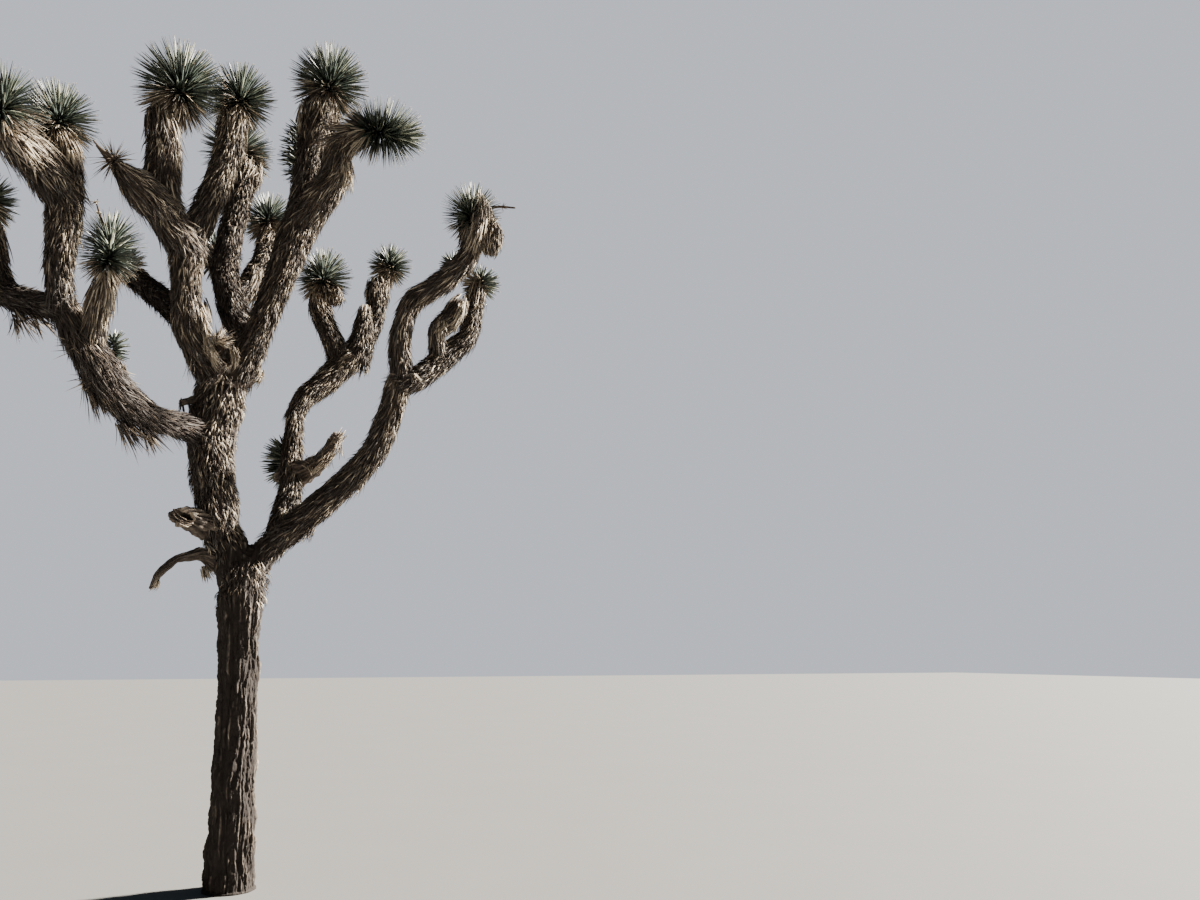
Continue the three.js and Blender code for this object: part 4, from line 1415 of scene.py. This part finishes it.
def make_thatch(sizes):
    """The dark cores and the dead leaves of the cloaked limbs, a piece of each kind for each family."""
    dead = finishes("dead", DEAD_TONES, DEAD_ROUGHNESS)
    # Old wood and painted shade between the dead leaves, in the limbs' dark cores
    core = leaf_finish("limb_core", (0.05, 0.035, 0.025), (0.08, 0.056, 0.04), CORE_ROUGHNESS)
    for number, family in enumerate(FAMILIES):
        rng = np.random.default_rng(SEEDS["thatch"] + number)
        blades = Blades()
        bm = bmesh.new()
        names = [limb.name for limb in LIMBS if limb.family == family]
        for name in names:
            reach = OPEN_REACH if name in OPEN_ENDS else CLOSED_REACH
            tube(bm, SPINES[name], 12, 0.045, sizes.core, reach)
            cloak(blades, SPINES[name], rng, sizes)
        for head in HEADS:
            if head.family == family and not head.name.startswith("tuft"):
                skirt(blades, SPINES[head.limb], rng, sizes, head.vigour)
                dead_whorl(blades, rng, head, bpy.context.scene.joshua_heads)
        gather(blades, family, rng)
        bmesh.ops.recalc_face_normals(bm, faces=bm.faces)
        bmesh.ops.triangulate(bm, faces=bm.faces)
        finish_piece(f"core_{family}", mesh_of(bm, f"core_{family}"), [core])
        finish_piece(f"thatch_{family}", blades.mesh(f"thatch_{family}"), dead, names)
    rng = np.random.default_rng(SEEDS["thatch_bark"])
    blades = Blades()
    for limb in LIMBS:
        if limb.family == "bark":
            cloak(blades, SPINES[limb.name], rng, sizes)
    finish_piece("thatch_bark", blades.mesh("thatch_bark"), dead)


# Living heads

# Where a living leaf has its rings and its tip, as parts of its length, and how wide it is at each ring
LEAF_STATIONS = np.array([0.0, 0.38, 0.95, 1.0])
LEAF_TAPER = np.array([[0.85, 1.0, 0.2]])

# How far from the top of a head and of a tuft the lowest green leaves lean, and between what the dead
# ones under them do, in degrees
HEAD_LEAN, TUFT_LEAN = 140, 100
DEAD_LEAN = (118, 162)

# Highest draws that give a cream, a yellow-green, a blue-green and a green leaf
LIVING_STEPS = (0.12, 0.33, 0.64, 0.98)


def head_axis(head):
    """The way a head points: on from the tip of its limb, or out from the side of it for a tuft."""
    spine = SPINES[head.limb]
    centre = np.array(head.centre)
    if head.name.startswith("tuft"):
        root = spine.places[np.linalg.norm(spine.places - centre, axis=1).argmin()]
        return unit(unit(centre - root) + np.array([0, 0, 0.5]))
    return unit(unit(centre - spine.places[-1]) + 0.6 * spine.tangents[-1])


def whorl(blades, rng, head, sizes, steep, tones, tip_tone, sag=0.0):
    """Stiff leaves from the middle of a head out to its outline. Steep is how far each one leans away
    from the way the head points, and sag how far its tip hangs, as a part of its length."""
    total = len(steep)
    reach = sizes.reach * head.vigour
    axis = head_axis(head)
    ray = rays(axis, np.arange(total) * GOLDEN_ANGLE + rng.normal(0, 0.12, total))
    way = axis * np.cos(steep)[:, None] + ray * np.sin(steep)[:, None]
    long_axis = unit(np.array(head.axis, float))
    lean = way @ long_axis
    out = way + long_axis * ((head.stretch - 1) * lean)[:, None]
    tips = np.array(head.centre) + out * (reach * rng.uniform(0.92, 1.1, total))[:, None]
    spread = 0.18 + 1.6 * (head.stretch - 1)
    roots = (np.array(head.centre) - axis * 0.12 * reach + long_axis * (spread * reach * lean)[:, None]
             + ray * 0.05 * reach)
    run = tips - roots
    length = np.linalg.norm(run, axis=1, keepdims=True)
    facing = unit(axis - unit(run) * np.sum(unit(run) * axis, 1, keepdims=True) + 1e-4 * ray)
    twist = rng.normal(0, 0.35, (total, 1))
    facing = unit(facing + np.cross(unit(run), facing) * twist)
    t = LEAF_STATIONS[None, :, None]
    bow = (rng.normal(0.015, 0.02, (total, 1)) + 0.03 * steep[:, None] / math.pi) * length
    middles = roots[:, None] + run[:, None] * t + facing[:, None] * bow[:, None] * 4 * t * (1 - t)
    middles[..., 2] -= sag * length * LEAF_STATIONS**2
    half = 0.5 * sizes.width * rng.uniform(0.8, 1.15, (total, 1)) * LEAF_TAPER
    blades.add(middles, facing[:, None], half, tones, tip_tone)


def living_whorl(blades, rng, head, sizes):
    """The living leaves of a head: even over its top and sides, down to its lowest green leaves."""
    tuft = head.name.startswith("tuft")
    total = int(sizes.count * head.vigour**1.8 * (1 + 0.8 * (head.stretch - 1)) * (0.75 if tuft else 1))
    age = (np.arange(total) + 0.5) / total
    lowest = math.cos(math.radians(TUFT_LEAN if tuft else HEAD_LEAN))
    steep = np.arccos(1 - (1 - lowest) * age)
    whorl(blades, rng, head, sizes, steep, deal_living(rng, steep), len(LIVING_TONES))


def dead_whorl(blades, rng, head, sizes):
    """The newest dead leaves, which hang under the green ones of a head."""
    total = int(0.36 * sizes.count * head.vigour**1.5)
    steep = np.radians(rng.uniform(*DEAD_LEAN, total))
    whorl(blades, rng, head, sizes, steep, deal_dead(rng, np.ones(total), 0.3), None, 0.12)


def deal_living(rng, steep):
    """A tone for each living leaf: palest at the top, dark and blue-green lower down. This is partly the
    leaves' own tones and partly painted sunlight on the top and painted shade lower down.
    """
    # Painted light and shade, in part: the higher a leaf stands, the paler its tone
    draw = rng.random(len(steep)) + 0.22 * (steep - 1.0)
    return np.select([draw < step for step in LIVING_STEPS], [4, 3, 2, 1], 0)


def make_heads(sizes):
    """The heads of living leaves, a piece for each family of limbs."""
    living = finishes("living", LIVING_TONES, LIVING_ROUGHNESS)
    living.append(leaf_finish(*SPINE_TONE, SPINE_ROUGHNESS))
    for number, family in enumerate(FAMILIES):
        rng = np.random.default_rng(SEEDS["leaves"] + number)
        blades = Blades()
        heads = [head for head in HEADS if head.family == family]
        for head in heads:
            living_whorl(blades, rng, head, sizes)
        finish_piece(f"leaves_{family}", blades.mesh(f"leaves_{family}"), living,
                     [head.name for head in heads])


# Stage

# Half the side of the floor
FLOOR_REACH = 60

# The key light: how wide it spreads, how high it stands, where it comes from over the ground, its colour
SUN_SPREAD, SUN_HEIGHT = math.radians(5), math.radians(27)
SUN_EAST, SUN_NORTH = 0.99, 0.10
SUN_COLOR = (1.0, 0.94, 0.85)

# Colours of the fill and of the backdrop
FILL_COLOR, BACKDROP_COLOR = (0.66, 0.8, 1.0, 1), (0.86, 0.9, 1.0, 1)


def make_stage(sizes):
    """A plain pale floor, one soft key light from the east, an even fill and the camera."""
    bm = bmesh.new()
    bmesh.ops.create_grid(bm, x_segments=1, y_segments=1, size=FLOOR_REACH)
    floor = put("floor", mesh_of(bm, "floor"))
    finish = Finish("floor", roughness=0.9)
    grain = finish.spots(scale=0.9, detail=2)
    color = tuple(sizes.floor_color)
    finish.feed(finish.shader, {"Base Color": finish.ramp(grain, [(0.3, shade(color, 0.97)), (0.7, color)])})
    floor.data.materials.append(finish.material)

    sun = bpy.data.lights.new("key", "SUN")
    sun.energy = sizes.key
    sun.angle = SUN_SPREAD
    sun.color = SUN_COLOR
    level = math.cos(SUN_HEIGHT)
    toward = Vector((SUN_EAST * level, SUN_NORTH * level, math.sin(SUN_HEIGHT)))
    put("key", sun).rotation_euler = toward.to_track_quat("Z", "Y").to_euler()

    world = bpy.data.worlds.new("studio")
    bpy.context.scene.world = world
    world.use_nodes = True
    nodes, links = world.node_tree.nodes, world.node_tree.links
    fill = nodes["Background"]
    fill.inputs["Color"].default_value = FILL_COLOR
    fill.inputs["Strength"].default_value = sizes.fill
    backdrop = nodes.new("ShaderNodeBackground")
    backdrop.inputs["Color"].default_value = BACKDROP_COLOR
    backdrop.inputs["Strength"].default_value = sizes.backdrop
    behind = nodes.new("ShaderNodeLightPath")
    either = nodes.new("ShaderNodeMixShader")
    links.new(behind.outputs["Is Camera Ray"], either.inputs[0])
    links.new(fill.outputs[0], either.inputs[1])
    links.new(backdrop.outputs[0], either.inputs[2])
    links.new(either.outputs[0], nodes["World Output"].inputs["Surface"])

    lens = bpy.data.cameras.new("camera")
    lens.lens = sizes.lens
    lens.clip_end = 500
    camera = put("camera", lens)
    camera.location = sizes.eye
    camera.rotation_euler = (math.radians(90) + sizes.tilt, 0, -sizes.turn)
    bpy.context.scene.camera = camera


# Add-on

class JOSHUA_OT_stage(bpy.types.Operator):
    """Add the floor, the light and the camera"""
    bl_idname = "joshua.stage"
    bl_label = "Stage"

    def execute(self, context):
        make_stage(context.scene.joshua_stage)
        return {"FINISHED"}


class JOSHUA_OT_bark(bpy.types.Operator):
    """Cover the trunk, the stem and the low east bough with bark"""
    bl_idname = "joshua.bark"
    bl_label = "Bark"

    def execute(self, context):
        make_bark(context.scene.joshua_bark)
        return {"FINISHED"}


class JOSHUA_OT_broken(bpy.types.Operator):
    """Shape the dead limbs that have snapped off"""
    bl_idname = "joshua.broken"
    bl_label = "Broken limbs"

    def execute(self, context):
        make_broken(context.scene.joshua_broken)
        return {"FINISHED"}


class JOSHUA_OT_thatch(bpy.types.Operator):
    """Cloak the other limbs in dead leaves"""
    bl_idname = "joshua.thatch"
    bl_label = "Dead leaves on the limbs"

    def execute(self, context):
        make_thatch(context.scene.joshua_thatch)
        return {"FINISHED"}


class JOSHUA_OT_masses(bpy.types.Operator):
    """Build the dead head in the crotch, the cushion beside the inner east head and the spent stalks"""
    bl_idname = "joshua.masses"
    bl_label = "Dead heads and stalks"

    def execute(self, context):
        make_masses(context.scene.joshua_masses)
        return {"FINISHED"}


class JOSHUA_OT_heads(bpy.types.Operator):
    """Grow the heads of living leaves"""
    bl_idname = "joshua.heads"
    bl_label = "Living heads"

    def execute(self, context):
        make_heads(context.scene.joshua_heads)
        return {"FINISHED"}


OPERATORS = (JOSHUA_OT_stage, JOSHUA_OT_bark, JOSHUA_OT_broken, JOSHUA_OT_thatch, JOSHUA_OT_masses,
             JOSHUA_OT_heads)


class JOSHUA_PT_panel(bpy.types.Panel):
    """Lists the steps that build the tree"""
    bl_idname = "JOSHUA_PT_panel"
    bl_label = "Joshua tree"
    bl_space_type = "VIEW_3D"
    bl_region_type = "UI"
    bl_category = "Joshua tree"

    def draw(self, context):
        for operator in OPERATORS:
            self.layout.operator(operator.bl_idname)


SETTINGS = {
    "joshua_stage": StageSettings,
    "joshua_bark": BarkSettings,
    "joshua_broken": BrokenSettings,
    "joshua_thatch": ThatchSettings,
    "joshua_masses": MassSettings,
    "joshua_heads": HeadSettings,
}


def register():
    for name, settings in SETTINGS.items():
        bpy.utils.register_class(settings)
        setattr(bpy.types.Scene, name, bpy.props.PointerProperty(type=settings))
    for operator in OPERATORS:
        bpy.utils.register_class(operator)
    bpy.utils.register_class(JOSHUA_PT_panel)


def unregister():
    bpy.utils.unregister_class(JOSHUA_PT_panel)
    for operator in reversed(OPERATORS):
        bpy.utils.unregister_class(operator)
    for name, settings in reversed(SETTINGS.items()):
        delattr(bpy.types.Scene, name)
        bpy.utils.unregister_class(settings)


def main():
    register()
    check_agreement()
    bpy.ops.joshua.stage()
    bpy.ops.joshua.bark()
    bpy.ops.joshua.broken()
    bpy.ops.joshua.thatch()
    bpy.ops.joshua.masses()
    bpy.ops.joshua.heads()


if __name__ == "__main__":
    main()
